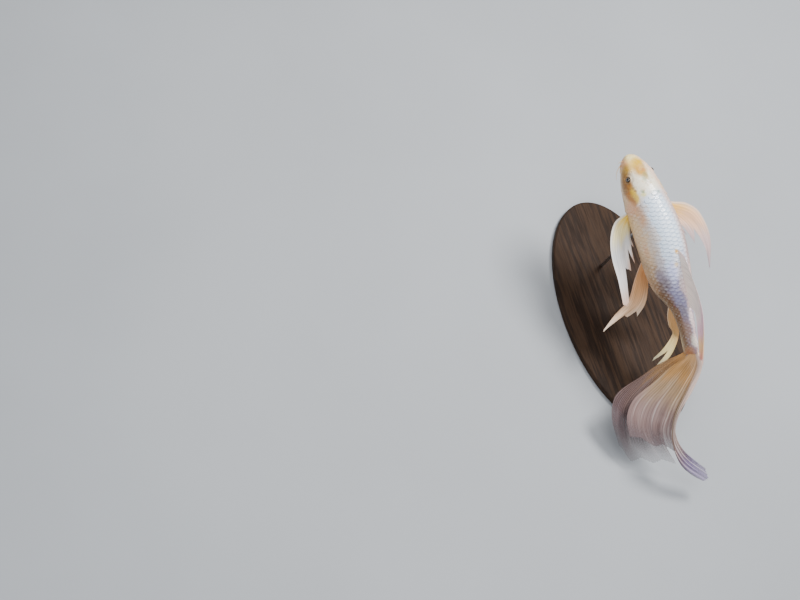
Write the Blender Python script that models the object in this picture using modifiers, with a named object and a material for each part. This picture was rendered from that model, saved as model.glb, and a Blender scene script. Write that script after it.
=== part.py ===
"""A long-finned koi carp as a still, life-size model on a plain display stand.

The fish is laid out in its own frame, which an empty carries: x to the fish's left, y towards
its tail, z to its back, with the origin on the body's axis half way along it. The stand is laid
out in the world, with the origin at the middle of the base's underside. Metres and degrees.
"""

import math

import bmesh
import bpy
from mathutils import Matrix, Vector

# The fish as a whole.
BODY_LENGTH = 0.355  # snout to the root of the tail fin, along the spine
AXIS_HEIGHT = 0.215  # the middle of the body above the underside of the stand
FISH_BACKSET = -0.03  # the middle of the body from the middle of the stand, along y
NOSE_UP = 18.0  # rise of the body towards the snout
GAP = 0.0004  # clearance between neighbouring pieces
CUT = 0.0008  # width of the cuts that part the jaw and gill covers from the head

# Where the body is parted, as shares of its length from the snout.
STALK_START = 0.75
BODY_END = 1.03
CAP_AT = 0.235  # middle of the faces between head and trunk

# Course of the spine: share of the length, turn of the snout's direction to the fish's left.
HEADING = (
    (0, 21), (0.07, 15), (0.15, 10), (0.3, 12.5), (0.45, 7), (0.55, 4), (0.65, 8), (0.75, 8),
    (0.85, 3), (1, -4),
)

# Cross-sections, as shares of the body's length: half width, rise to the back, drop to the belly.
HALF_WIDTH = (
    (0, 0.032), (0.04, 0.051), (0.08, 0.070), (0.12, 0.083), (0.16, 0.090), (0.2, 0.095),
    (0.3, 0.105), (0.4, 0.108), (0.5, 0.106), (0.6, 0.099), (0.68, 0.084), (0.74, 0.059),
    (0.8, 0.041), (0.9, 0.030), (1, 0.020), (BODY_END, 0.005),
)
RISE = (
    (0, 0.027), (0.04, 0.045), (0.08, 0.065), (0.12, 0.080), (0.16, 0.093), (0.2, 0.104),
    (0.3, 0.121), (0.4, 0.132), (0.5, 0.129), (0.6, 0.116), (0.7, 0.096), (0.8, 0.076),
    (0.9, 0.065), (1, 0.064), (BODY_END, 0.062),
)
DROP = (
    (0, 0.030), (0.04, 0.050), (0.08, 0.070), (0.12, 0.085), (0.2, 0.108), (0.3, 0.131),
    (0.4, 0.147), (0.5, 0.151), (0.6, 0.149), (0.68, 0.137), (0.73, 0.110), (0.78, 0.079),
    (0.84, 0.066), (0.9, 0.060), (1, 0.062), (BODY_END, 0.060),
)
SNOUT_ROUND = 0.035  # share of the length over which the snout closes
SECTION_POWER = 0.92  # below 1 squares the cross-sections a little

# Rear edge of the gill covers: angle from the back, share of the length.
GILL_EDGE = ((0, 0.200), (60, 0.245), (95, 0.262), (150, 0.245), (180, 0.225))

# Pieces cut out of the head: (share, angle) along the front and rear edge, and depth.
COVER_ANGLES = (58, 152)
COVER_FRONT = ((0, 0.172), (0.35, 0.166), (0.7, 0.158), (1, 0.130))
COVER_REAR = 0.02  # share by which the cutting piece passes the gill edge
COVER_DEPTH = 0.0035
COVER_RADIUS = 0.035  # of the head about the body's axis, at the covers
JAW_ANGLES = (128, 232)
JAW_FRONT = 0.012
JAW_REAR = ((0, 0.062), (0.5, 0.120), (1, 0.062))
JAW_DEPTH = 0.006
JAW_RADIUS = 0.012
PROUD = 0.004  # how far the cutting pieces stand off the skin

# Eyes.
EYE_AT = (0.110, 64)
EYE_RADIUS = 0.0056
EYE_SUNK = 0.0030  # the ball's middle below the skin

# Barbels: share and angle of the root, then points along it, and the radius at root and tip.
LONG_BARBEL_ROOT = (0.034, 112)
SHORT_BARBEL_ROOT = (0.018, 98)
BARBEL_RADII = (0.0008, 0.0004)

# Fins: thickness, and how far below the skin a ray starts before it is trimmed.
FIN_THICKNESS = 0.0010
ROOT_DEPTH = 0.003

# Each fin is (rays, ends). A ray is (place across the fin, root on the body as (share, angle),
# points along it in the fish's frame). An end is (place across the fin, share of the ray that
# the membrane reaches), so a low one between two high ones is a notch between two streamers.
FINS = {
    "pectoral_fin_left": (
        (
            (0, (0.262, 118), ((0.065, -0.067, -0.030), (0.079, -0.041, -0.033),
             (0.082, -0.007, -0.037), (0.076, 0.036, -0.042), (0.072, 0.081, -0.048))),
            (0.25, (0.270, 120), ((0.057, -0.053, -0.031), (0.066, -0.024, -0.034),
             (0.066, 0.004, -0.037), (0.062, 0.041, -0.042), (0.061, 0.081, -0.047))),
            (0.5, (0.280, 122), ((0.046, -0.046, -0.033), (0.053, -0.018, -0.036),
             (0.048, 0.023, -0.041))),
            (0.75, (0.288, 124), ((0.040, -0.048, -0.034), (0.043, -0.020, -0.037),
             (0.037, 0.011, -0.041))),
            (1, (0.298, 127), ((0.036, -0.048, -0.037), (0.036, -0.034, -0.040),
             (0.032, -0.018, -0.043))),
        ),
        ((0, 0.98), (0.12, 1), (0.26, 0.97), (0.36, 0.68), (0.5, 1), (0.62, 0.62), (0.75, 1),
         (0.87, 0.6), (1, 1)),
    ),
    "pectoral_fin_right": (
        (
            (0, (0.258, -118), ((-0.055, -0.082, -0.027), (-0.078, -0.076, -0.026),
             (-0.100, -0.057, -0.025), (-0.112, -0.012, -0.025), (-0.104, 0.046, -0.032))),
            (0.3, (0.268, -120), ((-0.055, -0.066, -0.028), (-0.076, -0.053, -0.027),
             (-0.093, -0.028, -0.027), (-0.101, 0.003, -0.028), (-0.101, 0.043, -0.032))),
            (0.6, (0.280, -122), ((-0.052, -0.056, -0.030), (-0.066, -0.040, -0.029),
             (-0.083, -0.001, -0.030))),
            (0.82, (0.288, -124), ((-0.046, -0.052, -0.032), (-0.058, -0.039, -0.031),
             (-0.072, -0.018, -0.031))),
            (1, (0.296, -126), ((-0.039, -0.050, -0.035), (-0.044, -0.042, -0.034),
             (-0.052, -0.030, -0.034))),
        ),
        ((0, 0.99), (0.2, 1), (0.42, 0.62), (0.6, 1), (0.7, 0.55), (0.82, 1), (0.92, 0.7), (1, 1)),
    ),
    "pelvic_fin_left": (
        (
            (0, (0.512, 148), ((0.026, 0.022, -0.054), (0.036, 0.040, -0.058),
             (0.051, 0.070, -0.064), (0.080, 0.091, -0.070), (0.108, 0.115, -0.075))),
            (0.45, (0.532, 152), ((0.022, 0.034, -0.057), (0.029, 0.056, -0.061),
             (0.045, 0.083, -0.065), (0.074, 0.099, -0.070), (0.106, 0.118, -0.075))),
            (1, (0.560, 158), ((0.009, 0.035, -0.058), (0.008, 0.053, -0.061),
             (0.019, 0.082, -0.064), (0.039, 0.102, -0.068))),
        ),
        ((0, 0.98), (0.2, 1), (0.6, 0.72), (0.78, 0.86), (0.88, 0.8), (1, 1)),
    ),
    "pelvic_fin_right": (
        (
            (0, (0.512, -148), ((-0.027, 0.022, -0.056), (-0.038, 0.041, -0.061),
             (-0.049, 0.066, -0.067), (-0.058, 0.089, -0.073), (-0.062, 0.113, -0.079))),
            (0.45, (0.532, -152), ((-0.022, 0.033, -0.058), (-0.030, 0.054, -0.063),
             (-0.041, 0.079, -0.069), (-0.052, 0.099, -0.075), (-0.060, 0.114, -0.079))),
            (1, (0.560, -158), ((-0.013, 0.034, -0.059), (-0.017, 0.050, -0.062),
             (-0.026, 0.070, -0.067), (-0.036, 0.088, -0.072))),
        ),
        ((0, 0.98), (0.2, 1), (0.6, 0.72), (0.78, 0.86), (0.88, 0.8), (1, 1)),
    ),
    "anal_fin": (
        (
            (0, (0.752, 180), ((-0.009, 0.108, -0.046), (-0.012, 0.128, -0.054),
             (-0.020, 0.143, -0.060), (-0.003, 0.164, -0.068), (0.025, 0.183, -0.075))),
            (0.5, (0.780, 180), ((-0.014, 0.115, -0.040), (-0.019, 0.131, -0.049),
             (-0.024, 0.147, -0.058), (-0.008, 0.172, -0.068), (0.020, 0.189, -0.075))),
            (1, (0.812, 180), ((-0.018, 0.122, -0.034), (-0.025, 0.136, -0.044),
             (-0.027, 0.156, -0.058), (-0.010, 0.183, -0.068), (0.019, 0.198, -0.075))),
        ),
        ((0, 0.95), (0.15, 1), (0.5, 0.74), (0.8, 0.97), (1, 0.9)),
    ),
    "dorsal_fin": (
        (
            (0, (0.500, 0), ((-0.004, 0.016, 0.055), (-0.006, 0.048, 0.061),
             (-0.011, 0.085, 0.063), (-0.015, 0.120, 0.058), (-0.014, 0.160, 0.047),
             (-0.008, 0.196, 0.037))),
            (0.3, (0.580, 0), ((-0.007, 0.042, 0.054), (-0.011, 0.068, 0.056),
             (-0.016, 0.100, 0.055), (-0.018, 0.135, 0.049), (-0.015, 0.174, 0.040),
             (-0.009, 0.206, 0.034))),
            (0.65, (0.680, 0), ((-0.011, 0.078, 0.046), (-0.016, 0.103, 0.047),
             (-0.020, 0.137, 0.042), (-0.017, 0.173, 0.036), (-0.010, 0.204, 0.032))),
            (1, (0.780, 0), ((-0.013, 0.112, 0.037), (-0.013, 0.133, 0.036),
             (-0.011, 0.161, 0.033), (-0.009, 0.190, 0.030))),
        ),
        ((0, 1), (0.12, 0.96), (0.3, 1), (0.42, 0.9), (0.55, 0.97), (0.68, 0.88), (0.8, 0.98),
         (1, 1)),
    ),
    "tail_fin_upper": (
        (
            (0, (1.012, 4), ((-0.014, 0.204, 0.026), (0.009, 0.242, 0.018),
             (0.035, 0.277, 0.004), (0.043, 0.308, -0.009), (0.024, 0.344, -0.025),
             (-0.027, 0.391, -0.042))),
            (0.25, (1.018, 18), ((-0.010, 0.208, 0.019), (0.013, 0.240, 0.010),
             (0.042, 0.286, -0.006), (0.047, 0.322, -0.020), (0.027, 0.371, -0.036),
             (-0.020, 0.412, -0.045))),
            (0.5, (1.02, 42), ((-0.009, 0.206, 0.011), (0.014, 0.238, 0.000),
             (0.036, 0.271, -0.014), (0.045, 0.308, -0.034), (0.030, 0.346, -0.050))),
            (0.75, (1.02, 66), ((0.002, 0.200, -0.003), (0.032, 0.228, -0.018),
             (0.062, 0.258, -0.036), (0.072, 0.293, -0.050), (0.060, 0.330, -0.057))),
            (1, (1.018, 88), ((0.019, 0.196, -0.018), (0.053, 0.218, -0.034),
             (0.088, 0.240, -0.050), (0.102, 0.268, -0.060), (0.100, 0.304, -0.068))),
        ),
        ((0, 0.97), (0.12, 1), (0.25, 0.96), (0.31, 0.78), (0.5, 0.99), (0.62, 0.95), (0.75, 1),
         (0.88, 0.96), (1, 1)),
    ),
    "tail_fin_lower": (
        (
            (0, (1.02, 104), ((0.004, 0.200, -0.020), (0.022, 0.236, -0.036),
             (0.038, 0.278, -0.053), (0.036, 0.325, -0.065), (0.018, 0.370, -0.070))),
            (0.35, (1.018, 128), ((0.010, 0.196, -0.026), (0.042, 0.228, -0.048),
             (0.068, 0.268, -0.066), (0.072, 0.315, -0.078), (0.055, 0.361, -0.082))),
            (0.7, (1.015, 152), ((0.018, 0.192, -0.034), (0.062, 0.216, -0.056),
             (0.098, 0.250, -0.074), (0.104, 0.300, -0.086), (0.092, 0.350, -0.092))),
            (1, (1.010, 174), ((0.024, 0.187, -0.038), (0.060, 0.203, -0.053),
             (0.108, 0.226, -0.069), (0.119, 0.262, -0.081), (0.111, 0.318, -0.092))),
        ),
        ((0, 1), (0.18, 0.96), (0.35, 1), (0.5, 0.95), (0.7, 1), (0.86, 0.97), (1, 1)),
    ),
}
COLUMNS_BETWEEN_ENDS = 2
FIN_ROWS = {"tail": 10, "pectoral": 9, "pelvic": 8, "anal": 9, "dorsal": 8}

# Display stand.
BASE_LENGTH = 0.44
BASE_WIDTH = 0.23
BASE_THICKNESS = 0.014
BASE_EDGE = 0.003
ROD_RADIUS = 0.003
ROD_SHARES = {"stand_rod_front": 0.36, "stand_rod_rear": 0.62}  # where they meet the body
ROD_SEAT = 0.009  # depth of each rod in the base
ROD_SOCKET = 0.010  # depth of each rod in the belly

RING = 30  # points round the body
UP = Vector((0, 0, 1))

FINISHES = {  # base colour, roughness, metallic
    "skin": ((0.80, 0.78, 0.74, 1), 0.35, 0),
    "fin": ((0.86, 0.82, 0.76, 1), 0.45, 0),
    "eye": ((0.03, 0.03, 0.03, 1), 0.10, 0),
    "barbel": ((0.78, 0.66, 0.50, 1), 0.45, 0),
    "base": ((0.035, 0.037, 0.042, 1), 0.45, 0),
    "rod": ((0.55, 0.56, 0.58, 1), 0.30, 1),
}


def cubic(start, end, slope_in, slope_out, at):
    """Value between two (place, value) knots with these slopes at them."""
    span = end[0] - start[0]
    t = (at - start[0]) / span
    return (
        start[1] * (1 - t) ** 2 * (1 + 2 * t)
        + end[1] * t * t * (3 - 2 * t)
        + slope_in * span * t * (1 - t) ** 2
        - slope_out * span * t * t * (1 - t)
    )


def smooth(knots, at):
    """Value at a place along (place, value) knots, on a cubic curve through them."""
    last = len(knots) - 1
    at = min(max(at, knots[0][0]), knots[-1][0])
    k = next(i for i in range(last) if at <= knots[i + 1][0])

    def slope(i):
        before, after = knots[max(i - 1, 0)], knots[min(i + 1, last)]
        return (after[1] - before[1]) / (after[0] - before[0])

    return cubic(knots[k], knots[k + 1], slope(k), slope(k + 1), at)


def between(guides, at):
    """Point at a place between (place, point) guides, on curves that never swing beyond them."""
    steps = [(b[1] - a[1]) / (b[0] - a[0]) for a, b in zip(guides, guides[1:])]
    k = next(i for i in range(len(steps)) if at <= guides[i + 1][0])

    def slope(i):
        pairs = zip(steps[max(i - 1, 0)], steps[min(i, len(steps) - 1)])
        return Vector([2 * p * q / (p + q) if p * q > 0 else 0.0 for p, q in pairs])

    return cubic(guides[k], guides[k + 1], slope(k), slope(k + 1), at)


def linear(knots, at):
    """Value at a place along (place, value) knots, straight between them."""
    for (start, low), (end, high) in zip(knots, knots[1:]):
        if at <= end:
            return low + (high - low) * (at - start) / (end - start)
    return knots[-1][1]


def spine_points(steps=240):
    """Points along the spine at equal steps of length, with its middle at the origin."""
    step = BODY_LENGTH * BODY_END / steps
    points = [Vector((0, 0, 0))]
    for i in range(steps):
        turn = math.radians(smooth(HEADING, (i + 0.5) / steps * BODY_END))
        points.append(points[-1] + Vector((-math.sin(turn), math.cos(turn), 0)) * step)
    middle = points[round(steps * 0.5 / BODY_END)]
    return [point - middle for point in points]


SPINE = spine_points()


def spine(share):
    """(point on the axis, direction to the fish's left) at a share of the body's length."""
    at = min(max(share / BODY_END, 0), 1) * (len(SPINE) - 1)
    i = min(int(at), len(SPINE) - 2)
    turn = math.radians(smooth(HEADING, share))
    left = Vector((math.cos(turn), math.sin(turn), 0))
    return SPINE[i].lerp(SPINE[i + 1], at - i), left


def body_point(share, angle, grow=0.0):
    """Point on the skin, or off it by grow. The angle runs from the back down the left side."""
    centre, left = spine(share)
    close = math.sqrt(1 - (1 - min(share / SNOUT_ROUND, 1)) ** 2)
    side, up = math.sin(math.radians(angle)), math.cos(math.radians(angle))
    reach = RISE if up > 0 else DROP
    half_width = max(smooth(HALF_WIDTH, share) * BODY_LENGTH * close + grow, 0)
    height = max(smooth(reach, share) * BODY_LENGTH * close + grow, 0)
    return (
        centre
        + left * math.copysign(abs(side) ** SECTION_POWER, side) * half_width
        + UP * math.copysign(abs(up) ** SECTION_POWER, up) * height
    )


def gill_edge(angle):
    return smooth(GILL_EDGE, abs((angle + 180) % 360 - 180))


def new_object(name, mesh, collection, parent=None):
    obj = bpy.data.objects.new(name, mesh)
    collection.objects.link(obj)
    obj.parent = parent
    return obj


def mesh_from(name, points, faces):
    """Mesh of these points and faces, its faces turned outwards."""
    mesh = bpy.data.meshes.new(name)
    mesh.from_pydata(points, [], faces)
    work = bmesh.new()
    work.from_mesh(mesh)
    bmesh.ops.recalc_face_normals(work, faces=work.faces)
    work.to_mesh(mesh)
    work.free()
    mesh.shade_smooth()
    return mesh


def loft(name, rings, front, back):
    """Closed skin over rings of equal count, with a point to close it at each end."""
    count = len(rings[0])
    points = [point for ring in rings for point in ring] + [front, back]
    faces = []
    for r in range(len(rings) - 1):
        for i in range(count):
            j = (i + 1) % count
            faces.append((r * count + i, r * count + j, (r + 1) * count + j, (r + 1) * count + i))
    last = (len(rings) - 1) * count
    for i in range(count):
        j = (i + 1) % count
        faces.append((i, j, len(points) - 2))
        faces.append((last + i, last + j, len(points) - 1))
    return mesh_from(name, points, faces)


def ring_angles():
    return [360 * i / RING for i in range(RING)]


def head_rings(grow=0.0):
    """From the snout to the rear edge of the gill covers."""
    steps = (0.006, 0.03, 0.075, 0.13, 0.2, 0.29, 0.39, 0.5, 0.62, 0.74, 0.87, 1)
    return [[body_point(t * gill_edge(a), a, grow) for a in ring_angles()] for t in steps]


def trunk_rings(grow=0.0):
    """From the gill covers to the tail stalk."""
    gap = GAP / BODY_LENGTH
    steps = [i / 11 for i in range(12)]
    return [
        [
            body_point((gill_edge(a) + gap) * (1 - t) + STALK_START * t, a, grow)
            for a in ring_angles()
        ]
        for t in steps
    ]


def stalk_rings(grow=0.0):
    """The narrow part that carries the tail fin, ending in a thin upright edge."""
    start = STALK_START + GAP / BODY_LENGTH
    steps = (0, 0.16, 0.32, 0.48, 0.65, 0.82, 0.93, 1)
    shares = [start + (BODY_END - start) * t for t in steps]
    return [[body_point(share, a, grow) for a in ring_angles()] for share in shares]


def head_mesh(name):
    return loft(name, head_rings(), spine(0)[0], spine(CAP_AT)[0])


def trunk_mesh(name):
    front = spine(CAP_AT + GAP / BODY_LENGTH)[0]
    return loft(name, trunk_rings(), front, spine(STALK_START)[0])


def stalk_mesh(name):
    front = spine(STALK_START + GAP / BODY_LENGTH)[0]
    return loft(name, stalk_rings(), front, spine(BODY_END)[0])


def clearance_mesh(name):
    """The whole body, larger all round by the gap that neighbours keep to it."""
    rings = head_rings(GAP) + trunk_rings(GAP) + stalk_rings(GAP)
    behind = Vector((0, GAP, 0))
    rings[-1] = [point + behind for point in rings[-1]]
    return loft(name, rings, spine(0)[0] - behind, spine(BODY_END)[0] + behind)


def patch_mesh(name, place, depth, across=8, along=4):
    """Closed slab that follows the skin: place(s, t) gives (share, angle) over the patch."""
    cells = [(i, j) for i in range(across + 1) for j in range(along + 1)]
    outer = [body_point(*place(i / across, j / along), PROUD) for i, j in cells]
    inner = [body_point(*place(i / across, j / along), -depth) for i, j in cells]
    count = len(cells)
    faces = []
    for i in range(across):
        for j in range(along):
            a = i * (along + 1) + j
            quad = (a, a + 1, a + along + 2, a + along + 1)
            faces.append(quad)
            faces.append(tuple(count + corner for corner in reversed(quad)))
    edge = [i * (along + 1) for i in range(across + 1)]
    edge += [across * (along + 1) + j for j in range(1, along + 1)]
    edge += [i * (along + 1) + along for i in range(across - 1, -1, -1)]
    edge += list(range(along - 1, 0, -1))
    for k, a in enumerate(edge):
        b = edge[(k + 1) % len(edge)]
        faces.append((a, b, count + b, count + a))
    return mesh_from(name, outer + inner, faces)


def cover_place(side, grow):
    """Places on one gill cover, its edges moved out by grow metres."""
    first, last = COVER_ANGLES
    turn = math.degrees(grow / COVER_RADIUS)

    def place(s, t):
        angle = (first - turn) + (last - first + 2 * turn) * s
        front = smooth(COVER_FRONT, s) - grow / BODY_LENGTH
        rear = gill_edge(angle) + COVER_REAR
        return front + (rear - front) * t, side * angle

    return place


def jaw_place(grow):
    """Places on the lower jaw, its edges moved out by grow metres."""
    first, last = JAW_ANGLES
    turn = math.degrees(grow / JAW_RADIUS)

    def place(s, t):
        front = JAW_FRONT - grow / BODY_LENGTH
        rear = smooth(JAW_REAR, s) + grow / BODY_LENGTH
        return front + (rear - front) * t, (first - turn) + (last - first + 2 * turn) * s

    return place


def boolean(obj, operation, other, solver="EXACT"):
    modifier = obj.modifiers.new(operation.lower() + " " + other.name, "BOOLEAN")
    modifier.operation = operation
    modifier.solver = solver
    modifier.object = other


def ball_mesh(name, centre, radius):
    mesh = bpy.data.meshes.new(name)
    work = bmesh.new()
    bmesh.ops.create_uvsphere(work, u_segments=16, v_segments=9, radius=radius)
    bmesh.ops.translate(work, verts=work.verts, vec=centre)
    work.to_mesh(mesh)
    work.free()
    mesh.shade_smooth()
    return mesh


def eye_centre(side):
    share, angle = EYE_AT
    return body_point(share, side * angle, -EYE_SUNK)


def ray_knots(root, points):
    """(share of the length, point) knots of one fin ray, from below the skin to its tip."""
    line = [body_point(*root, -ROOT_DEPTH)] + [Vector(point) for point in points]
    places = [0.0]
    for a, b in zip(line, line[1:]):
        places.append(places[-1] + (b - a).length)
    return [(place / places[-1], point) for place, point in zip(places, line)]


def fin_mesh(name, rays, ends, rows):
    """Open sheet through the fin's guide rays, with its free edge cut to the ends given."""
    guides = [(place, ray_knots(root, points)) for place, root, points in rays]
    columns = [ends[0][0]]
    for (start, _), (end, _) in zip(ends, ends[1:]):
        for i in range(COLUMNS_BETWEEN_ENDS):
            columns.append(start + (end - start) * (i + 1) / COLUMNS_BETWEEN_ENDS)
    points = []
    for column in columns:
        reach = linear(ends, column)
        for row in range(rows):
            along = reach * row / (rows - 1)
            points.append(between([(p, smooth(knots, along)) for p, knots in guides], column))
    faces = []
    for c in range(len(columns) - 1):
        for r in range(rows - 1):
            a = c * rows + r
            b, d, e = a + 1, a + rows, a + rows + 1
            if (points[a] - points[e]).length < (points[b] - points[d]).length:
                faces += [(a, b, e), (a, e, d)]
            else:
                faces += [(a, b, d), (b, e, d)]
    return mesh_from(name, points, faces)


def thicken(obj):
    modifier = obj.modifiers.new("thickness", "SOLIDIFY")
    modifier.thickness = FIN_THICKNESS
    modifier.offset = 0
    modifier.use_even_offset = False


def barbel(name, root, drop, collection, parent):
    """Tapered feeler from a root on the head, through points given from there."""
    start = body_point(*root, BARBEL_RADII[0] + GAP)
    knots = [(0, Vector())] + [(k + 1, Vector(point)) for k, point in enumerate(drop)]
    curve = bpy.data.curves.new(name, "CURVE")
    curve.dimensions = "3D"
    curve.bevel_depth = 1
    curve.bevel_resolution = 1
    curve.use_fill_caps = True
    line = curve.splines.new("POLY")
    count = 9
    line.points.add(count - 1)
    for i, point in enumerate(line.points):
        t = i / (count - 1)
        point.co = (*(start + smooth(knots, t * len(drop))), 1)
        point.radius = BARBEL_RADII[0] + (BARBEL_RADII[1] - BARBEL_RADII[0]) * t
    return new_object(name, curve, collection, parent)


def colour(obj, look):
    """Gives the object a material of its own in one of the model's finishes."""
    material = bpy.data.materials.new(obj.name)
    material.use_nodes = True
    shader = material.node_tree.nodes["Principled BSDF"]
    for socket, value in zip(("Base Color", "Roughness", "Metallic"), FINISHES[look]):
        shader.inputs[socket].default_value = value
    obj.data.materials.append(material)


def finish_of(name):
    """Flesh is skin; the other nodes' finishes are named by the nodes' own first words."""
    words = {"fin": "fin", "eye": "eye", "barbel": "barbel", "base": "base", "rod": "rod"}
    return next((look for word, look in words.items() if word in name.split("_")), "skin")


def cutter(name, mesh, collection, parent=None):
    obj = new_object(name, mesh, collection, parent)
    obj.hide_render = True
    obj.display_type = "WIRE"
    return obj


def cylinder(name, radius, bottom, top, at, collection, segments=24):
    mesh = bpy.data.meshes.new(name)
    work = bmesh.new()
    bmesh.ops.create_cone(
        work, cap_ends=True, segments=segments, radius1=radius, radius2=radius,
        depth=top - bottom,
    )
    work.to_mesh(mesh)
    work.free()
    mesh.shade_smooth()
    mesh.set_sharp_from_angle(angle=math.radians(40))
    obj = new_object(name, mesh, collection)
    obj.location = (at.x, at.y, (top + bottom) / 2)
    return obj


def make_flesh(parts, cutters, frame):
    """Head with its gill covers and lower jaw parted from it, trunk and tail stalk."""
    head = new_object("head", head_mesh("head"), parts, frame)
    for side, word in ((1, "left"), (-1, "right")):
        keep = patch_mesh("keep", cover_place(side, 0), COVER_DEPTH)
        clear = patch_mesh("clear", cover_place(side, CUT), COVER_DEPTH + CUT)
        cover = new_object("gill_cover_" + word, head_mesh("cover"), parts, frame)
        boolean(cover, "INTERSECT", cutter("cover_keep_" + word, keep, cutters, frame))
        boolean(head, "DIFFERENCE", cutter("cover_clear_" + word, clear, cutters, frame))
        socket = ball_mesh("socket", eye_centre(side), EYE_RADIUS + GAP)
        boolean(head, "DIFFERENCE", cutter("socket_" + word, socket, cutters, frame))
        ball = ball_mesh("eye", eye_centre(side), EYE_RADIUS)
        new_object("eye_" + word, ball, parts, frame)
    keep = patch_mesh("keep", jaw_place(0), JAW_DEPTH)
    clear = patch_mesh("clear", jaw_place(CUT), JAW_DEPTH + CUT)
    jaw = new_object("lower_jaw", head_mesh("jaw"), parts, frame)
    boolean(jaw, "INTERSECT", cutter("jaw_keep", keep, cutters, frame))
    boolean(head, "DIFFERENCE", cutter("jaw_clear", clear, cutters, frame))
    trunk = new_object("trunk", trunk_mesh("trunk"), parts, frame)
    new_object("tail_stalk", stalk_mesh("tail_stalk"), parts, frame)
    return trunk


def make_barbels(parts, frame):
    for side, word in ((1, "left"), (-1, "right")):
        share, angle = LONG_BARBEL_ROOT
        long_drop = [
            (side * 0.004, 0.003, -0.002), (side * 0.008, 0.009, -0.005),
            (side * 0.009, 0.017, -0.009),
        ]
        barbel("barbel_long_" + word, (share, side * angle), long_drop, parts, frame)
        share, angle = SHORT_BARBEL_ROOT
        short_drop = [(side * 0.003, 0.000, -0.002), (side * 0.006, 0.002, -0.005)]
        barbel("barbel_short_" + word, (share, side * angle), short_drop, parts, frame)


def make_fins(parts, cutters, frame):
    clearance = cutter("body_clearance", clearance_mesh("clearance"), cutters, frame)
    for name, (rays, ends) in FINS.items():
        mesh = fin_mesh(name, rays, ends, FIN_ROWS[name.split("_")[0]])
        fin = new_object(name, mesh, parts, frame)
        thicken(fin)
        boolean(fin, "DIFFERENCE", clearance, "MANIFOLD" if name == "dorsal_fin" else "EXACT")


def make_stand(parts, cutters, frame, trunk):
    """Oval base, and two rods from it into blind holes in the belly."""
    bpy.ops.mesh.primitive_cylinder_add(vertices=40, radius=0.5, depth=1)
    base = bpy.context.object
    base.name = "stand_base"
    base.data.transform(Matrix.Diagonal((BASE_WIDTH, BASE_LENGTH, BASE_THICKNESS, 1)))
    for collection in base.users_collection:
        collection.objects.unlink(base)
    parts.objects.link(base)
    base.location.z = BASE_THICKNESS / 2
    bevel = base.modifiers.new("edge", "BEVEL")
    bevel.width = BASE_EDGE
    bevel.segments = 2
    bevel.limit_method = "ANGLE"
    base.data.shade_smooth()
    base.data.set_sharp_from_angle(angle=math.radians(40))
    for name, share in ROD_SHARES.items():
        belly = frame @ body_point(share, 180)
        bottom = BASE_THICKNESS - ROD_SEAT
        top = belly.z + ROD_SOCKET
        cylinder(name, ROD_RADIUS, bottom, top, belly, parts)
        seat = cylinder(
            name + "_seat", ROD_RADIUS + GAP, bottom - GAP, BASE_THICKNESS + 0.01, belly, cutters
        )
        hole = cylinder(
            name + "_hole", ROD_RADIUS + GAP, belly.z - 0.02, top + GAP, belly, cutters
        )
        for tool, cut in ((seat, base), (hole, trunk)):
            tool.hide_render = True
            tool.display_type = "WIRE"
            boolean(cut, "DIFFERENCE", tool)


def main():
    for obj in list(bpy.data.objects):
        bpy.data.objects.remove(obj)
    parts = bpy.data.collections.new("koi_carp")
    cutters = bpy.data.collections.new("cutters")
    for collection in (parts, cutters):
        bpy.context.scene.collection.children.link(collection)
    cutters.hide_render = True
    frame = bpy.data.objects.new("fish_frame", None)
    parts.objects.link(frame)
    frame.location = (0, FISH_BACKSET, AXIS_HEIGHT)
    frame.rotation_euler.x = -math.radians(NOSE_UP)
    bpy.context.view_layer.update()
    trunk = make_flesh(parts, cutters, frame)
    make_barbels(parts, frame)
    make_fins(parts, cutters, frame)
    make_stand(parts, cutters, frame.matrix_world.copy(), trunk)
    for obj in parts.objects:
        if obj.data:
            colour(obj, finish_of(obj.name))


main()
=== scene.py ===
"""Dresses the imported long-finned koi: one skin, overlapping scales, eyes, barbels, veil fins,
the display stand, and a plain studio.

The fish is laid out in its own frame, as its solids are: x to its left, y towards the tail, z to
its back, with the origin on the body's axis half way along it. Places on the body are a share of
its length from the snout and an angle from the back, down the left side. Metres and degrees,
except that the fins' points are in millimetres.
"""

import math

import bpy
import numpy as np
from mathutils import Matrix, Vector

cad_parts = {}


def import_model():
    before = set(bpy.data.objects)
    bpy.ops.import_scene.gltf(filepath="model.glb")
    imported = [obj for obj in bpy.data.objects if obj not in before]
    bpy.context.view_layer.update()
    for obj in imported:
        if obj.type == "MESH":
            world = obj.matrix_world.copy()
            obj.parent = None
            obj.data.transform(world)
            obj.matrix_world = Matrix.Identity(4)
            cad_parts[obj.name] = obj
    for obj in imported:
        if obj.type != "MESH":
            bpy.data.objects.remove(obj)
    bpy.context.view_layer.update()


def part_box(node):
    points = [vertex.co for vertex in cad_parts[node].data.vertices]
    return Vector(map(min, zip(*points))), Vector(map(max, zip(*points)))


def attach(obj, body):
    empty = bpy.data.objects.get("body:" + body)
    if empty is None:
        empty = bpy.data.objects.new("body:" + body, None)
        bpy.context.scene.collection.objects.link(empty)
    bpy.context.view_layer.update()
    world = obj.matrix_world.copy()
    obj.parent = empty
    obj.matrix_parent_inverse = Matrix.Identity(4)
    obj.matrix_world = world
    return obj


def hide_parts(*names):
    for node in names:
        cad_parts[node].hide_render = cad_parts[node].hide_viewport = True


# ---- the fish, as in its solids
BODY_LENGTH = 0.355
AXIS_HEIGHT = 0.215
FISH_BACKSET = -0.03
NOSE_UP = 18.0
BODY_END = 1.03
HEADING = (
    (0, 21), (0.07, 15), (0.15, 10), (0.3, 12.5), (0.45, 7), (0.55, 4), (0.65, 8), (0.75, 8),
    (0.85, 3), (1, -4),
)
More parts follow.
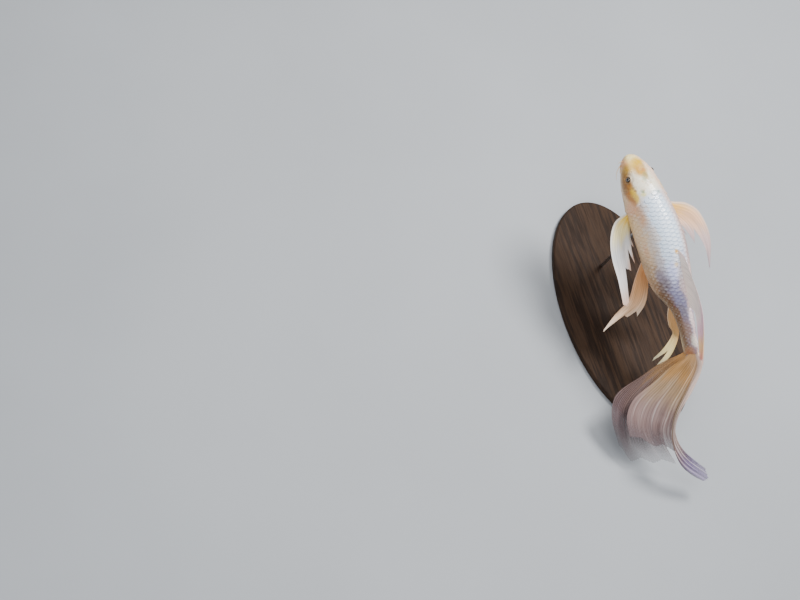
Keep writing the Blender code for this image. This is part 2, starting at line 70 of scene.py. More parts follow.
HALF_WIDTH = (
    (0, 0.032), (0.04, 0.051), (0.08, 0.07), (0.12, 0.083), (0.16, 0.09), (0.2, 0.095),
    (0.3, 0.105), (0.4, 0.108), (0.5, 0.106), (0.6, 0.099), (0.68, 0.084), (0.74, 0.059),
    (0.8, 0.041), (0.9, 0.03), (1, 0.02), (BODY_END, 0.005),
)
RISE = (
    (0, 0.027), (0.04, 0.045), (0.08, 0.065), (0.12, 0.08), (0.16, 0.093), (0.2, 0.104),
    (0.3, 0.121), (0.4, 0.132), (0.5, 0.129), (0.6, 0.116), (0.7, 0.096), (0.8, 0.076),
    (0.9, 0.065), (1, 0.064), (BODY_END, 0.062),
)
DROP = (
    (0, 0.03), (0.04, 0.05), (0.08, 0.07), (0.12, 0.085), (0.2, 0.108), (0.3, 0.131),
    (0.4, 0.147), (0.5, 0.151), (0.6, 0.149), (0.68, 0.137), (0.73, 0.11), (0.78, 0.079),
    (0.84, 0.066), (0.9, 0.06), (1, 0.062), (BODY_END, 0.06),
)
SNOUT_ROUND = 0.035
SECTION_POWER = 0.92
GILL_EDGE = ((0, 0.2), (60, 0.245), (95, 0.262), (150, 0.245), (180, 0.225))
EYE_AT = (0.11, 64)
EYE_RADIUS = 0.0056
EYE_SUNK = 0.003
LONG_BARBEL_ROOT = (0.034, 112)
SHORT_BARBEL_ROOT = (0.018, 98)
ROOT_DEPTH = 0.003
# Each fin's guide rays, as place across the fin, root and points, and then how far the fin's edge
# reaches along its rays, from place to place.
FINS = {
    "pectoral_fin_left": ((
        (0, (0.262, 118), ((65, -67, -30), (79, -41, -33), (82, -7, -37), (76, 36, -42),
         (72, 81, -48))),
        (0.25, (0.27, 120), ((57, -53, -31), (66, -24, -34), (66, 4, -37), (62, 41, -42),
         (61, 81, -47))),
        (0.5, (0.28, 122), ((46, -46, -33), (53, -18, -36), (48, 23, -41))),
        (0.75, (0.288, 124), ((40, -48, -34), (43, -20, -37), (37, 11, -41))),
        (1, (0.298, 127), ((36, -48, -37), (36, -34, -40), (32, -18, -43))),
    ), ((0, 0.98), (0.12, 1), (0.26, 0.97), (0.36, 0.68), (0.5, 1), (0.62, 0.62), (0.75, 1),
    (0.87, 0.6), (1, 1))),
    "pectoral_fin_right": ((
        (0, (0.258, -118), ((-55, -82, -27), (-78, -76, -26), (-100, -57, -25), (-112, -12, -25),
         (-104, 46, -32))),
        (0.3, (0.268, -120), ((-55, -66, -28), (-76, -53, -27), (-93, -28, -27), (-101, 3, -28),
         (-101, 43, -32))),
        (0.6, (0.28, -122), ((-52, -56, -30), (-66, -40, -29), (-83, -1, -30))),
        (0.82, (0.288, -124), ((-46, -52, -32), (-58, -39, -31), (-72, -18, -31))),
        (1, (0.296, -126), ((-39, -50, -35), (-44, -42, -34), (-52, -30, -34))),
    ), ((0, 0.99), (0.2, 1), (0.42, 0.62), (0.6, 1), (0.7, 0.55), (0.82, 1), (0.92, 0.7), (1, 1))),
    "pelvic_fin_left": ((
        (0, (0.512, 148), ((26, 22, -54), (36, 40, -58), (51, 70, -64), (80, 91, -70),
         (108, 115, -75))),
        (0.45, (0.532, 152), ((22, 34, -57), (29, 56, -61), (45, 83, -65), (74, 99, -70),
         (106, 118, -75))),
        (1, (0.56, 158), ((9, 35, -58), (8, 53, -61), (19, 82, -64), (39, 102, -68))),
    ), ((0, 0.98), (0.2, 1), (0.6, 0.72), (0.78, 0.86), (0.88, 0.8), (1, 1))),
    "pelvic_fin_right": ((
        (0, (0.512, -148), ((-27, 22, -56), (-38, 41, -61), (-49, 66, -67), (-58, 89, -73),
         (-62, 113, -79))),
        (0.45, (0.532, -152), ((-22, 33, -58), (-30, 54, -63), (-41, 79, -69), (-52, 99, -75),
         (-60, 114, -79))),
        (1, (0.56, -158), ((-13, 34, -59), (-17, 50, -62), (-26, 70, -67), (-36, 88, -72))),
    ), ((0, 0.98), (0.2, 1), (0.6, 0.72), (0.78, 0.86), (0.88, 0.8), (1, 1))),
    "anal_fin": ((
        (0, (0.752, 180), ((-9, 108, -46), (-12, 128, -54), (-20, 143, -60), (-3, 164, -68),
         (25, 183, -75))),
        (0.5, (0.78, 180), ((-14, 115, -40), (-19, 131, -49), (-24, 147, -58), (-8, 172, -68),
         (20, 189, -75))),
        (1, (0.812, 180), ((-18, 122, -34), (-25, 136, -44), (-27, 156, -58), (-10, 183, -68),
         (19, 198, -75))),
    ), ((0, 0.95), (0.15, 1), (0.5, 0.74), (0.8, 0.97), (1, 0.9))),
    "dorsal_fin": ((
        (0, (0.5, 0), ((-4, 16, 55), (-6, 48, 61), (-11, 85, 63), (-15, 120, 58), (-14, 160, 47),
         (-8, 196, 37))),
        (0.3, (0.58, 0), ((-7, 42, 54), (-11, 68, 56), (-16, 100, 55), (-18, 135, 49), (-15, 174, 40),
         (-9, 206, 34))),
        (0.65, (0.68, 0), ((-11, 78, 46), (-16, 103, 47), (-20, 137, 42), (-17, 173, 36),
         (-10, 204, 32))),
        (1, (0.78, 0), ((-13, 112, 37), (-13, 133, 36), (-11, 161, 33), (-9, 190, 30))),
    ), ((0, 1), (0.12, 0.96), (0.3, 1), (0.42, 0.9), (0.55, 0.97), (0.68, 0.88),
    (0.8, 0.98), (1, 1))),
    "tail_fin_upper": ((
        (0, (1.012, 4), ((-14, 204, 26), (9, 242, 18), (35, 277, 4), (43, 308, -9), (24, 344, -25),
         (-27, 391, -42))),
        (0.25, (1.018, 18), ((-10, 208, 19), (13, 240, 10), (42, 286, -6), (47, 322, -20),
         (27, 371, -36), (-20, 412, -45))),
        (0.5, (1.02, 42), ((-9, 206, 11), (14, 238, 0), (36, 271, -14), (45, 308, -34),
         (30, 346, -50))),
        (0.75, (1.02, 66), ((2, 200, -3), (32, 228, -18), (62, 258, -36), (72, 293, -50),
         (60, 330, -57))),
        (1, (1.018, 88), ((19, 196, -18), (53, 218, -34), (88, 240, -50), (102, 268, -60),
         (100, 304, -68))),
    ), ((0, 0.97), (0.12, 1), (0.25, 0.96), (0.31, 0.78), (0.5, 0.99), (0.62, 0.95), (0.75, 1),
    (0.88, 0.96), (1, 1))),
    "tail_fin_lower": ((
        (0, (1.02, 104), ((4, 200, -20), (22, 236, -36), (38, 278, -53), (36, 325, -65),
         (18, 370, -70))),
        (0.35, (1.018, 128), ((10, 196, -26), (42, 228, -48), (68, 268, -66), (72, 315, -78),
         (55, 361, -82))),
        (0.7, (1.015, 152), ((18, 192, -34), (62, 216, -56), (98, 250, -74), (104, 300, -86),
         (92, 350, -92))),
        (1, (1.01, 174), ((24, 187, -38), (60, 203, -53), (108, 226, -69), (119, 262, -81),
         (111, 318, -92))),
    ), ((0, 1), (0.18, 0.96), (0.35, 1), (0.5, 0.95), (0.7, 1), (0.86, 0.97), (1, 1))),
}

# ---- what the looks add
RING = 300  # points round the skin
SNOUT_RINGS = 26
TRUNK_RINGS = 165
HEAD_RING_STEP = 0.0006
EDGE_RING_STEP = 0.0004  # between the rings that drop over the gill cover's edge
HEAD_REACH = 0.245  # share where the head's rings end, before they bend to the gill cover's edge
SCALE_BED = 0.0007  # how far the skin lies below the solids where scales cover it
GILL_STEP = (0.0024, 0.0004)  # height of the gill cover's edge, where it is free and where fast
GILL_FREE = (48, 62, 158, 176)  # angles where the edge comes free and is fast again
GILL_GAP = 0.0003  # from the edge to the foot of its step
GILL_FOLD = 0.011  # how far behind it the skin takes to come up again
GILL_SWELL = (0.001, -0.01, -0.0015)  # the cover's rise towards the edge, its start and end

# Ridges and creases of the skin: place across them, height and width.
MOUTH = ((118, 0.06), (135, 0.045), (155, 0.022), (180, 0.01))  # slit: angle, share
SLIT = ((0, -0.0024, 0.0006),)
LIPS = (
    (-0.0021, 0.0014, 0.0012), (0.002, 0.0013, 0.0011),
    (-0.0046, -0.0009, 0.0009), (0.0044, -0.0006, 0.0009),
)
SOCKET = (0.0042, 0.004, 0.005)  # depth, radius of its floor and of its edge
EYE_RIM = ((0.0058, 0.00055, 0.0009), (0.0088, -0.0004, 0.0016))
NOSTRILS = ((0.068, 40, 0.001), (0.079, 42, 0.0013))  # share, angle, radius
NOSTRIL_DEPTH = 0.0013
NOSTRIL_RIM = 0.00035
NOSTRIL_FLAP = ((0, 0.0006, 0.0007),)
CHEEK_EDGE = ((0, 0.15), (58, 0.158), (90, 0.166), (120, 0.15), (150, 0.105))  # angle, share
CHEEK_RIDGES = ((0, -0.0007, 0.001), (0.00355, 0.0005, 0.0024))
COVER_EDGE = ((60, 0.2), (100, 0.205), (128, 0.215), (160, 0.235))
COVER_CREASE = ((0, -0.0005, 0.001),)
COVER_SEAM = ((0, -0.0003, 0.0008),)
SEAM_AT = (118, 0.17, 40)  # angle at this share, and how much more for each share behind it
COVER_SIDE = (46, 60, 138, 155)  # angles that the creases and ribs keep between
COVER_RIBS = (66, 0.172, 46, 0.00012)  # angle and share that they fan from, number and height
GILL_CREASE = ((-0.004, -0.0006, 0.0008),)
CROWN_FORMS = ((0.088, -0.0008, 0.01), (0.15, 0.0005, 0.02))  # share, height, width

LATERAL_LINE = 92.0  # angle of the scale row along the middle of the side
BACK_ROW, BELLY_ROW = 8, -10  # rows of scales along the midlines
ROWS_ABOVE = ((0, 7), (0.5, 7), (0.62, 6), (0.85, 4.5), (1.1, 4.5))
ROWS_BELOW = ((0, 9), (0.55, 9), (0.7, 7), (0.82, 4.5), (1.1, 4.5))
SCALE_PITCH = ((0, 0.0078), (0.5, 0.0075), (1.1, 0.006))  # between scales along a row
SCALE_START = 0.178
SCALE_END = 1.0
SCALE_GRID = 8  # points across one scale
SCALE_LENGTH = (1.25, 0.8)  # ahead of its centre and behind it, in pitches
SCALE_WIDTH = 0.8  # half of it, in rows
SCALE_UNEVEN = 0.03
SCALE_LIFT = (-0.0003, 0.0002)  # height above the skin at the front and the free edge
SCALE_CURL = 0.00007  # and how much more at the tip of that edge
SCALE_CROWN = 0.00006  # and along its middle
SCALE_TILT = 0.00004  # and unevenly from scale to scale
SCALE_THICKNESS = 0.0001
PORE_TUBE = (0.00022, 0.14, 0.15, 0.45)  # height, half width, place and half length
PATCH = 0.003  # size of one scale's patch on the coat's map

# Rays, points between two rays, rows, base thickness, folds, their height, soft waves' height.
PECTORAL = (15, 8, 80, 0.0026, 4, 0.0005, 0.0009)
PELVIC = (9, 8, 64, 0.002, 3, 0.0005, 0.0009)
FIN_SHAPES = {
    "pectoral_fin_left": PECTORAL,
    "pectoral_fin_right": PECTORAL,
    "pelvic_fin_left": PELVIC,
    "pelvic_fin_right": PELVIC,
    "anal_fin": (7, 9, 64, 0.0012, 3, 0.0004, 0.0008),
    "dorsal_fin": (20, 7, 56, 0.0012, 7, 0.0005, 0.0006),
    "tail_fin_upper": (26, 8, 96, 0.0048, 11, 0.0011, 0.0016),
    "tail_fin_lower": (22, 8, 96, 0.0048, 7, 0.0007, 0.0017),
}
MEMBRANE = 0.00018  # thickness between the rays
RAY_HEIGHT = 0.00014  # and how much thicker a ray is at its root
FRAY = 0.01  # depth of the notches between rays at the edge, as a share of a ray
RAY_WIDTH = 0.16
RAY_SPLIT = 0.26

EYE_SIDES = 64
EYE_TURNS = (np.linspace(1, 60, 40), np.linspace(63, 178, 26))  # iris, and ball behind it
IRIS_TURN = 60
CORNEA = (0.00025, 24)  # height of the bulge over the iris, and its spread in degrees
EYE_SHRINK = 0.0003  # how much smaller than its solid the ball is
BARBEL_SIDES = 20
BARBEL_RINGS = 44
BARBEL_START = -0.35
BARBEL_DEPTH, BARBEL_RISE = 0.0012, 0.0006  # of its end below the skin, and of its root above it
LONG_DROP = ((0.004, 0.004, -0.002), (0.008, 0.012, -0.005), (0.009, 0.023, -0.008))
SHORT_DROP = ((0.003, 0.000, -0.002), (0.006, 0.002, -0.005))
LONG_RADIUS, SHORT_RADIUS = 0.0009, 0.0008

BASE_EDGE = [  # inset and height of the rounded edge
    (0.003 * (1 - math.sin(bend)), 0.003 * (1 - math.cos(bend)))
    for bend in np.radians(np.linspace(0, 90, 7))
]
ROD_EDGE = [(0.0003, 0.0), (0.0, 0.0003)]
SHARP = math.radians(35)

VIEW_SIDE = 31.0  # of the camera from straight above the back, towards the fish's left
VIEW_ROLL = 11.5
VIEW_DISTANCE = 3.279
VIEW_AIM = (0.4583, 0.0851)  # how far to the fish's side and tail the camera looks past it
LENS = 85.0

LIGHTS = (  # place, size, watts, colour
    ("key", (-0.85, -0.45, 2.25), 0.8, 90, (1.0, 0.99, 0.97)),
    ("top", (0.3, 0.2, 2.4), 1.4, 26, (1.0, 0.99, 0.98)),
    ("fill", (1.6, 0.8, 1.4), 1.6, 16, (0.97, 0.98, 1.0)),
    ("front", (0.4, -2.0, 1.0), 1.2, 9, (1.0, 0.98, 0.95)),
)
LIGHTS_AIM = Vector((0, 0.03, 0.15))
SKY = (0.86, 0.88, 0.9)
SKY_STRENGTH = 0.42

SEED = 7


# ---- curves and the body's surface
def hermite(values, k, slope, span, t):
    """Cubic curve from value k to the next one, with a slope at each."""
    return (
        values[k] * (1 - t) ** 2 * (1 + 2 * t)
        + values[k + 1] * t * t * (3 - 2 * t)
        + slope[k] * span * t * (1 - t) ** 2
        - slope[k + 1] * span * t * t * (1 - t)
    )


def split(knots):
    """Places and values of (place, value) knots."""
    return np.array([knot[0] for knot in knots], float), np.array([knot[1] for knot in knots], float)


def smooth(knots, at):
    """Values at places along (place, value) knots, on a cubic curve through them."""
    places, values = split(knots)
    at = np.clip(np.asarray(at, float), places[0], places[-1])
    k = np.clip(np.searchsorted(places, at) - 1, 0, len(places) - 2)
    order = np.arange(len(places))
    before, after = np.maximum(order - 1, 0), np.minimum(order + 1, len(places) - 1)
    gap, span = places[after] - places[before], places[k + 1] - places[k]
    t = (at - places[k]) / span
    if values.ndim > 1:
        gap, span, t = gap[:, None], span[..., None], t[..., None]
    return hermite(values, k, (values[after] - values[before]) / gap, span, t)


def fade(value, low, high):
    """0 at or below low, 1 at or above high, and smooth between."""
    t = np.clip((value - low) / (high - low), 0, 1)
    return t * t * (3 - 2 * t)


def window(value, low, rise, fall, high):
    """1 from rise to fall, 0 up to low and from high on, and smooth between."""
    return fade(value, low, rise) * (1 - fade(value, fall, high))


def bell(distance, width):
    return np.exp(-((distance / width) ** 2))


def ridges(distance, table):
    """Height of ridges and creases, each with its place, height and width."""
    return sum(height * bell(distance - place, width) for place, height, width in table)


def unit(vectors):
    return vectors / np.maximum(np.linalg.norm(vectors, axis=-1, keepdims=True), 1e-12)


def from_back(angle):
    """Angle from the back on either side, from 0 to 180."""
    return np.abs((angle + 180) % 360 - 180)


def spine_table(steps=240):
    turn = np.radians(smooth(HEADING, (np.arange(steps) + 0.5) / steps * BODY_END))
    moves = np.stack([-np.sin(turn), np.cos(turn), 0 * turn], 1) * BODY_LENGTH * BODY_END / steps
    points = np.vstack([np.zeros(3), np.cumsum(moves, 0)])
    return points - points[round(steps * 0.5 / BODY_END)]


SPINE = spine_table()


def section(share, angle):
    """Offsets from the axis to the left and up, as shares of the body's length."""
    close = np.sqrt(1 - (1 - np.clip(share / SNOUT_ROUND, 0, 1)) ** 2)
    side, up = np.sin(np.radians(angle)), np.cos(np.radians(angle))
    height = np.where(up > 0, smooth(RISE, share), smooth(DROP, share))
    across = np.sign(side) * np.abs(side) ** SECTION_POWER * smooth(HALF_WIDTH, share) * close
    return across, np.sign(up) * np.abs(up) ** SECTION_POWER * height * close


def body_point(share, angle):
    """Points on the surface of the body's solids."""
    share, angle = np.broadcast_arrays(share, angle)
    at = share / BODY_END * (len(SPINE) - 1)
    centre = np.stack([np.interp(at, np.arange(len(SPINE)), SPINE[:, i]) for i in range(3)], -1)
    turn = np.radians(smooth(HEADING, share))
    left = np.stack([np.cos(turn), np.sin(turn), 0 * turn], -1)
    across, up = section(share, angle)
    point = centre + left * (across * BODY_LENGTH)[..., None]
    point[..., 2] += up * BODY_LENGTH
    return point


def body_normal(share, angle, step=0.002):
    """Unit normals of that surface, outwards."""
    share, angle = np.broadcast_arrays(share, angle)
    ahead, behind = (np.clip(share + move, 0.0005, BODY_END) for move in (-step, step))
    along = body_point(behind, angle) - body_point(ahead, angle)
    around = body_point(share, angle + 1) - body_point(share, angle - 1)
    return unit(np.cross(around, along))


def gill_edge(angle):
    return smooth(GILL_EDGE, from_back(angle))


def rest_place(share, angle):
    """Places on the straightened body, which the markings are laid out on."""
    across, up = section(share, angle)
    return np.stack(np.broadcast_arrays(share, across, up), -1)


def girth_place(share, angle):
    """Share, angle from the back, and 1 on the fish's right side or 0 on its left."""
    right = fade(-np.sin(np.radians(angle)), 0.0, 0.3)
    return np.stack([share, from_back(angle) / 180, right], -1)


# ---- meshes
FISH = Matrix.Translation((0, FISH_BACKSET, AXIS_HEIGHT)) @ Matrix.Rotation(
    -math.radians(NOSE_UP), 4, "X"
)


def add(name, data):
    obj = bpy.data.objects.new(name, data)
    bpy.context.scene.collection.objects.link(obj)
    return obj


def piece(name, points, faces, nodes, material, in_fish=True):
    """New piece of the object, which stands for these CAD nodes."""
    mesh = bpy.data.meshes.new(name)
    mesh.from_pydata(np.asarray(points).reshape(-1, 3).tolist(), [], faces)
    if in_fish:
        mesh.transform(FISH)
    mesh.shade_smooth()
    mesh.materials.append(material)
    obj = add(name, mesh)
    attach(obj, "root")
    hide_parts(*nodes)
    return obj


def give(obj, name, values):
    """Stores a vector for each point, for the materials to read."""
    attribute = obj.data.attributes.new(name, "FLOAT_VECTOR", "POINT")
    attribute.data.foreach_set("vector", np.asarray(values, np.float32).ravel())


def give_map(obj, places):
    """UV map for baking, from a place for each point."""
    corners = np.empty(len(obj.data.loops), np.int32)
    obj.data.loops.foreach_get("vertex_index", corners)
    layer = obj.data.uv_layers.new(name="OFBake")
    layer.data.foreach_set("uv", np.asarray(places, np.float32)[corners].ravel())


def grid_faces(rows, columns, start=0, closed=False):
    """Quads over a grid of points, rows by columns, closed round the columns or not."""
    faces = []
    for r in range(rows - 1):
        for c in range(columns if closed else columns - 1):
            a, b = start + r * columns + c, start + r * columns + (c + 1) % columns
            faces.append((a, b, b + columns, a + columns))
    return faces


def tube_faces(rows, columns):
    """Faces of rings of points, with a fan over each end. The ends' middles follow the rings."""
    faces = grid_faces(rows, columns, closed=True)
    last = rows * columns
    for i in range(columns):
        j = (i + 1) % columns
        faces.append((j, i, last))
        faces.append((last - columns + i, last - columns + j, last + 1))
    return faces


def ring_points(centres, first, second, sides):
    """Points of rings along a line, each given by its centre and two radii as vectors."""
    turn = np.radians(np.arange(sides) * 360 / sides)[:, None]
    first, second = np.cos(turn) * first[:, None], np.sin(turn) * second[:, None]
    return (centres[:, None] + first + second).reshape(-1, 3)


def turned(faces):
    """The same faces, seen from behind."""
    return [tuple(reversed(face)) for face in faces]


def slab_faces(rows, columns):
    """Faces of a closed slab: a grid, the same grid behind it, and the edge between them."""
    count = rows * columns
    grid = np.arange(count).reshape(rows, columns)
    edge = [*grid[0], *grid[1:, -1], *grid[-1, -2::-1], *grid[-2:0:-1, 0]]
    edge = [int(point) for point in edge]
    sides = [(b, a, a + count, b + count) for a, b in zip(edge, edge[1:] + edge[:1])]
    return grid_faces(rows, columns) + turned(grid_faces(rows, columns, count)) + sides


# ---- skin
def ring_places():
    """Share and angle of each point of the skin, ring by ring from the snout."""
    angle = np.arange(RING) * 360.0 / RING
    edge = gill_edge(angle)
    snout = SNOUT_ROUND * (1 - np.cos(np.radians(np.linspace(3, 90, SNOUT_RINGS))))
    reach = HEAD_REACH - SNOUT_ROUND
    count = round(reach * BODY_LENGTH / HEAD_RING_STEP)
    cheek = SNOUT_ROUND + reach * np.arange(1, count + 1) / count
    rings = [
        share + (edge - HEAD_REACH) * fade(share, 0.06, HEAD_REACH)
        for share in np.concatenate([snout, cheek])
    ]
    step = EDGE_RING_STEP / BODY_LENGTH
    rings += [edge + step, edge + 2 * step, edge + 3 * step]
    rings += [rings[-1] * (1 - t) + BODY_END * t for t in np.linspace(0, 1, TRUNK_RINGS)[1:]]
    share = np.array(rings)
    return share, np.broadcast_to(angle, share.shape)


def distance_to(points, share, angle):
    return np.linalg.norm(points - body_point(share, angle), axis=-1)


def mouth_relief(points, share, turn):
    """Lips either side of the slit, and the creases beyond them."""
    corner = MOUTH[0][0]
    angles = np.linspace(corner, 360 - corner, 90)
    near = np.full(share.shape, np.inf)
    for point in body_point(smooth(MOUTH, from_back(angles)), angles):
        near = np.minimum(near, np.linalg.norm(points - point, axis=-1))
    below = (share > smooth(MOUTH, turn)) & (turn >= corner - 4)
    return ridges(near, SLIT) + ridges(np.where(below, near, -near), LIPS)


def eye_relief(points, side):
    """Dips under the eyeball, with a raised rim and a soft hollow round it."""
    away = distance_to(points, EYE_AT[0], side * EYE_AT[1])
    depth, low, high = SOCKET
    return ridges(away, EYE_RIM) - depth * (1 - fade(away, low, high))


def nostril_relief(points, side):
    """Two openings on each side, with rims, and the flap of skin between them."""
    relief = 0
    for share, angle, radius in NOSTRILS:
        away = distance_to(points, share, side * angle)
        relief = relief - NOSTRIL_DEPTH * (1 - fade(away, radius * 0.5, radius))
        relief = relief + NOSTRIL_RIM * bell(away - radius * 1.35, radius * 0.4)
    share, angle = 0.5 * (NOSTRILS[0][0] + NOSTRILS[1][0]), NOSTRILS[0][1] + 1
    return relief + ridges(distance_to(points, share, side * angle), NOSTRIL_FLAP)


def cheek_relief(share, turn):
    """Creases of the cheek plates, and the fine ribs that fan over the gill cover."""
    inside = window(turn, *COVER_SIDE)
    relief = ridges((share - smooth(CHEEK_EDGE, turn)) * BODY_LENGTH, CHEEK_RIDGES) * inside
    angle, middle, more = SEAM_AT
    seam = angle + more * (share - middle)
    relief += ridges((turn - seam) * 0.0006, COVER_SEAM) * fade(share, 0.165, 0.18)
    angle, middle, count, height = COVER_RIBS
    around = np.arctan2((turn - angle) * 0.0017, share - middle)
    relief += height * np.cos(around * count) * fade(share, 0.178, 0.2) * inside * (turn < seam)
    lower = (share - smooth(COVER_EDGE, turn)) * BODY_LENGTH
    return relief + ridges(lower, COVER_CREASE) * (turn > 100) * inside


def head_relief(share, angle, points):
    """Everything sculpted into the skin, as a height above the solids."""
    turn = from_back(angle)
    behind = (share - gill_edge(angle)) * BODY_LENGTH
    free = window(turn, *GILL_FREE)
    step = GILL_STEP[0] * free + GILL_STEP[1] * (1 - free)
    drop = -SCALE_BED - step * bell(behind - GILL_GAP, GILL_FOLD)
    swell, start, end = GILL_SWELL
    relief = np.where(behind > GILL_GAP, drop, swell * free * fade(behind, start, end))
    relief += ridges(behind, GILL_CREASE) * free
    head = share < 0.27
    share, turn, points = share[head], turn[head], points[head]
    extra = mouth_relief(points, share, turn) + cheek_relief(share, turn)
    for side in (1, -1):
        extra += eye_relief(points, side) + nostril_relief(points, side)
    for middle, height, width in CROWN_FORMS:
        extra += height * bell(distance_to(points, middle, 0), width)
    relief[head] += extra
    return relief


def make_skin(material):
    share, angle = ring_places()
    points = body_point(share, angle)
    points = points + body_normal(share, angle) * head_relief(share, angle, points)[..., None]
    ends = [points[0].mean(0), points[-1].mean(0)]
    flesh = ("head", "gill_cover_left", "gill_cover_right", "lower_jaw", "trunk", "tail_stalk")
    points = np.vstack([points.reshape(-1, 3), ends])
    obj = piece("skin", points, tube_faces(len(share), RING), flesh, material)
    rest = rest_place(share, angle).reshape(-1, 3)
    girth = girth_place(share, angle).reshape(-1, 3)
    give(obj, "rest", np.vstack([rest, (0, 0, 0), (BODY_END, 0, 0)]))
    give(obj, "girth", np.vstack([girth, (0, 0.5, 0), (BODY_END, 0.5, 0)]))


# ---- scales
def girth_tables():
    """Angle at each share and part of the way from the lateral line to the back, and to the
    belly."""
    shares, parts = np.linspace(0.15, 1.03, 90), np.linspace(0, 1, 61)
    tables = []
    for end in (0.0, 180.0):
        angles = np.linspace(LATERAL_LINE, end, 200)
        rows = []
        for share in shares:
            across, up = section(np.full(200, share), angles)
            run = np.concatenate([[0], np.cumsum(np.hypot(np.diff(across), np.diff(up)))])
            rows.append(np.interp(parts * run[-1], run, angles))
        tables.append(np.array(rows))
    return shares, parts, tables


SHARES, PARTS, ANGLES = girth_tables()


def look_up(table, share, part):
    r = np.clip((share - SHARES[0]) / (SHARES[1] - SHARES[0]), 0, len(SHARES) - 1.001)
    c = np.clip(part / PARTS[1], 0, len(PARTS) - 1.001)
    i, j = r.astype(int), c.astype(int)
    u, v = r - i, c - j
    near = table[i, j] * (1 - v) + table[i, j + 1] * v
    return near * (1 - u) + (table[i + 1, j] * (1 - v) + table[i + 1, j + 1] * v) * u


def rows_to(knots, share):
    """Scale rows from the lateral line to a midline."""
    return np.interp(share, *split(knots))


def row_angle(share, row):
    """Angle of a scale row, counted up from the lateral line. Rows past the back or the belly
    come round on the other side."""
    above = row / rows_to(ROWS_ABOVE, share)
    below = -row / rows_to(ROWS_BELOW, share)
    up = look_up(ANGLES[0], share, np.where(above > 1, 2 - above, above))
    down = look_up(ANGLES[1], share, np.where(below > 1, 2 - below, below))
    return np.where(row >= 0, np.where(above > 1, -up, up), np.where(below > 1, 360 - down, down))


def scale_centres():
    """(share, row, midline) of every scale on the left side. Midline is 1 for the row along the
    back, -1 for the one along the belly, and otherwise 0."""
    centres = []
    for row in range(BELLY_ROW, BACK_ROW + 1):
        midline = {BELLY_ROW: -1, BACK_ROW: 1}.get(row, 0)
        share = SCALE_START
        if row % 2 or midline == 1:
            share += 0.5 * float(smooth(SCALE_PITCH, share)) / BODY_LENGTH
        while share < SCALE_END:
            limit = float(rows_to(ROWS_ABOVE if row > 0 else ROWS_BELOW, share))
            pitch = float(smooth(SCALE_PITCH, share)) / BODY_LENGTH
            if midline or abs(row) <= limit - 0.5:
                angle = float(row_angle(np.array([share]), np.array([midline * limit or row]))[0])
                if share > float(gill_edge(angle)) - 0.25 * pitch:
                    centres.append((share, row, midline))
            share += pitch
    return centres


def scale_disc():
    """Points of one scale: along and across it, within a rounded outline of radius 1."""
    line = np.linspace(-1, 1, SCALE_GRID)
    x, y = np.meshgrid(line, line, indexing="ij")
    return x * np.sqrt(1 - y * y / 2), y * np.sqrt(1 - x * x / 2)


def scale_lift(along, across, jitter, row):
    """Height of the scales over the skin. Those of the lateral line carry a small tube."""
    rise = (1 + along) / 2
    low, high = SCALE_LIFT
    lift = low + (high - low) * rise + SCALE_CURL * np.clip(along, 0, 1) ** 5
    lift = lift + (SCALE_CROWN * (1 - across**2) + SCALE_TILT * jitter) * rise
    height, width, place, length = PORE_TUBE
    tube = height * bell(across, width) * bell(along - place, length)
    return lift + (np.abs(row) < 0.5) * tube


def make_scales(name, side, material):
    """One side's scales as overlapping plates, each free at its rear edge."""
    rng = np.random.default_rng(SEED + side)
    along, across = scale_disc()
    centres = [centre for centre in scale_centres() if side > 0 or not centre[2]]
    share, row, midline = np.array(centres, float).T[:, :, None, None]
    jitter = rng.normal(0, 1, (4, len(centres), 1, 1))
    chance = rng.random((len(centres), 1, 1))
    length = np.where(along > 0, SCALE_LENGTH[1], SCALE_LENGTH[0]) * along
    length = (length + SCALE_UNEVEN * jitter[0]) * smooth(SCALE_PITCH, share) / BODY_LENGTH
    at = np.clip(share + length, 0.16, 1.025)
    row = np.where(midline > 0, rows_to(ROWS_ABOVE, at), row)
    row = np.where(midline < 0, -rows_to(ROWS_BELOW, at), row)
    spread = across * SCALE_WIDTH + SCALE_UNEVEN * jitter[1] * along
    angle = row_angle(at, row + spread) * side
    lift = scale_lift(along, across, jitter[2], row) * fade(1.02 - at, 0, 0.03) - SCALE_BED
    thin = SCALE_THICKNESS * (0.35 + 0.65 * np.clip(1 - along**2 - across**2, 0, 1))
    normal, base = body_normal(at, angle), body_point(at, angle)
    count = SCALE_GRID**2

    def per_scale(values, again):
        """Values for the front and the back of each scale."""
        both = [part.reshape(len(centres), count, -1) for part in (values, again)]
        return np.concatenate(both, 1)

    points = per_scale(base + normal * lift[..., None], base + normal * (lift - thin)[..., None])
    one = slab_faces(SCALE_GRID, SCALE_GRID)
    if side > 0:
        one = turned(one)
    starts = range(0, len(centres) * 2 * count, 2 * count)
    faces = [tuple(start + i for i in face) for start in starts for face in one]
    obj = piece(name, points, faces, (), material)
    shape = np.stack(np.broadcast_arrays(along, across, np.broadcast_to(chance, at.shape)), -1)
    for key, values in (
        ("rest", rest_place(at, angle)), ("girth", girth_place(at, angle)), ("scale", shape),
    ):
        give(obj, key, per_scale(values, values))
    middle = row_angle(share, row[:, :1, :1]) * side
    places = (share + along * PATCH / 2, (middle % 360) / 360 + across * PATCH / 2)
    places = np.stack(places, -1) / 1.1
    give_map(obj, per_scale(places, places).reshape(-1, 2))


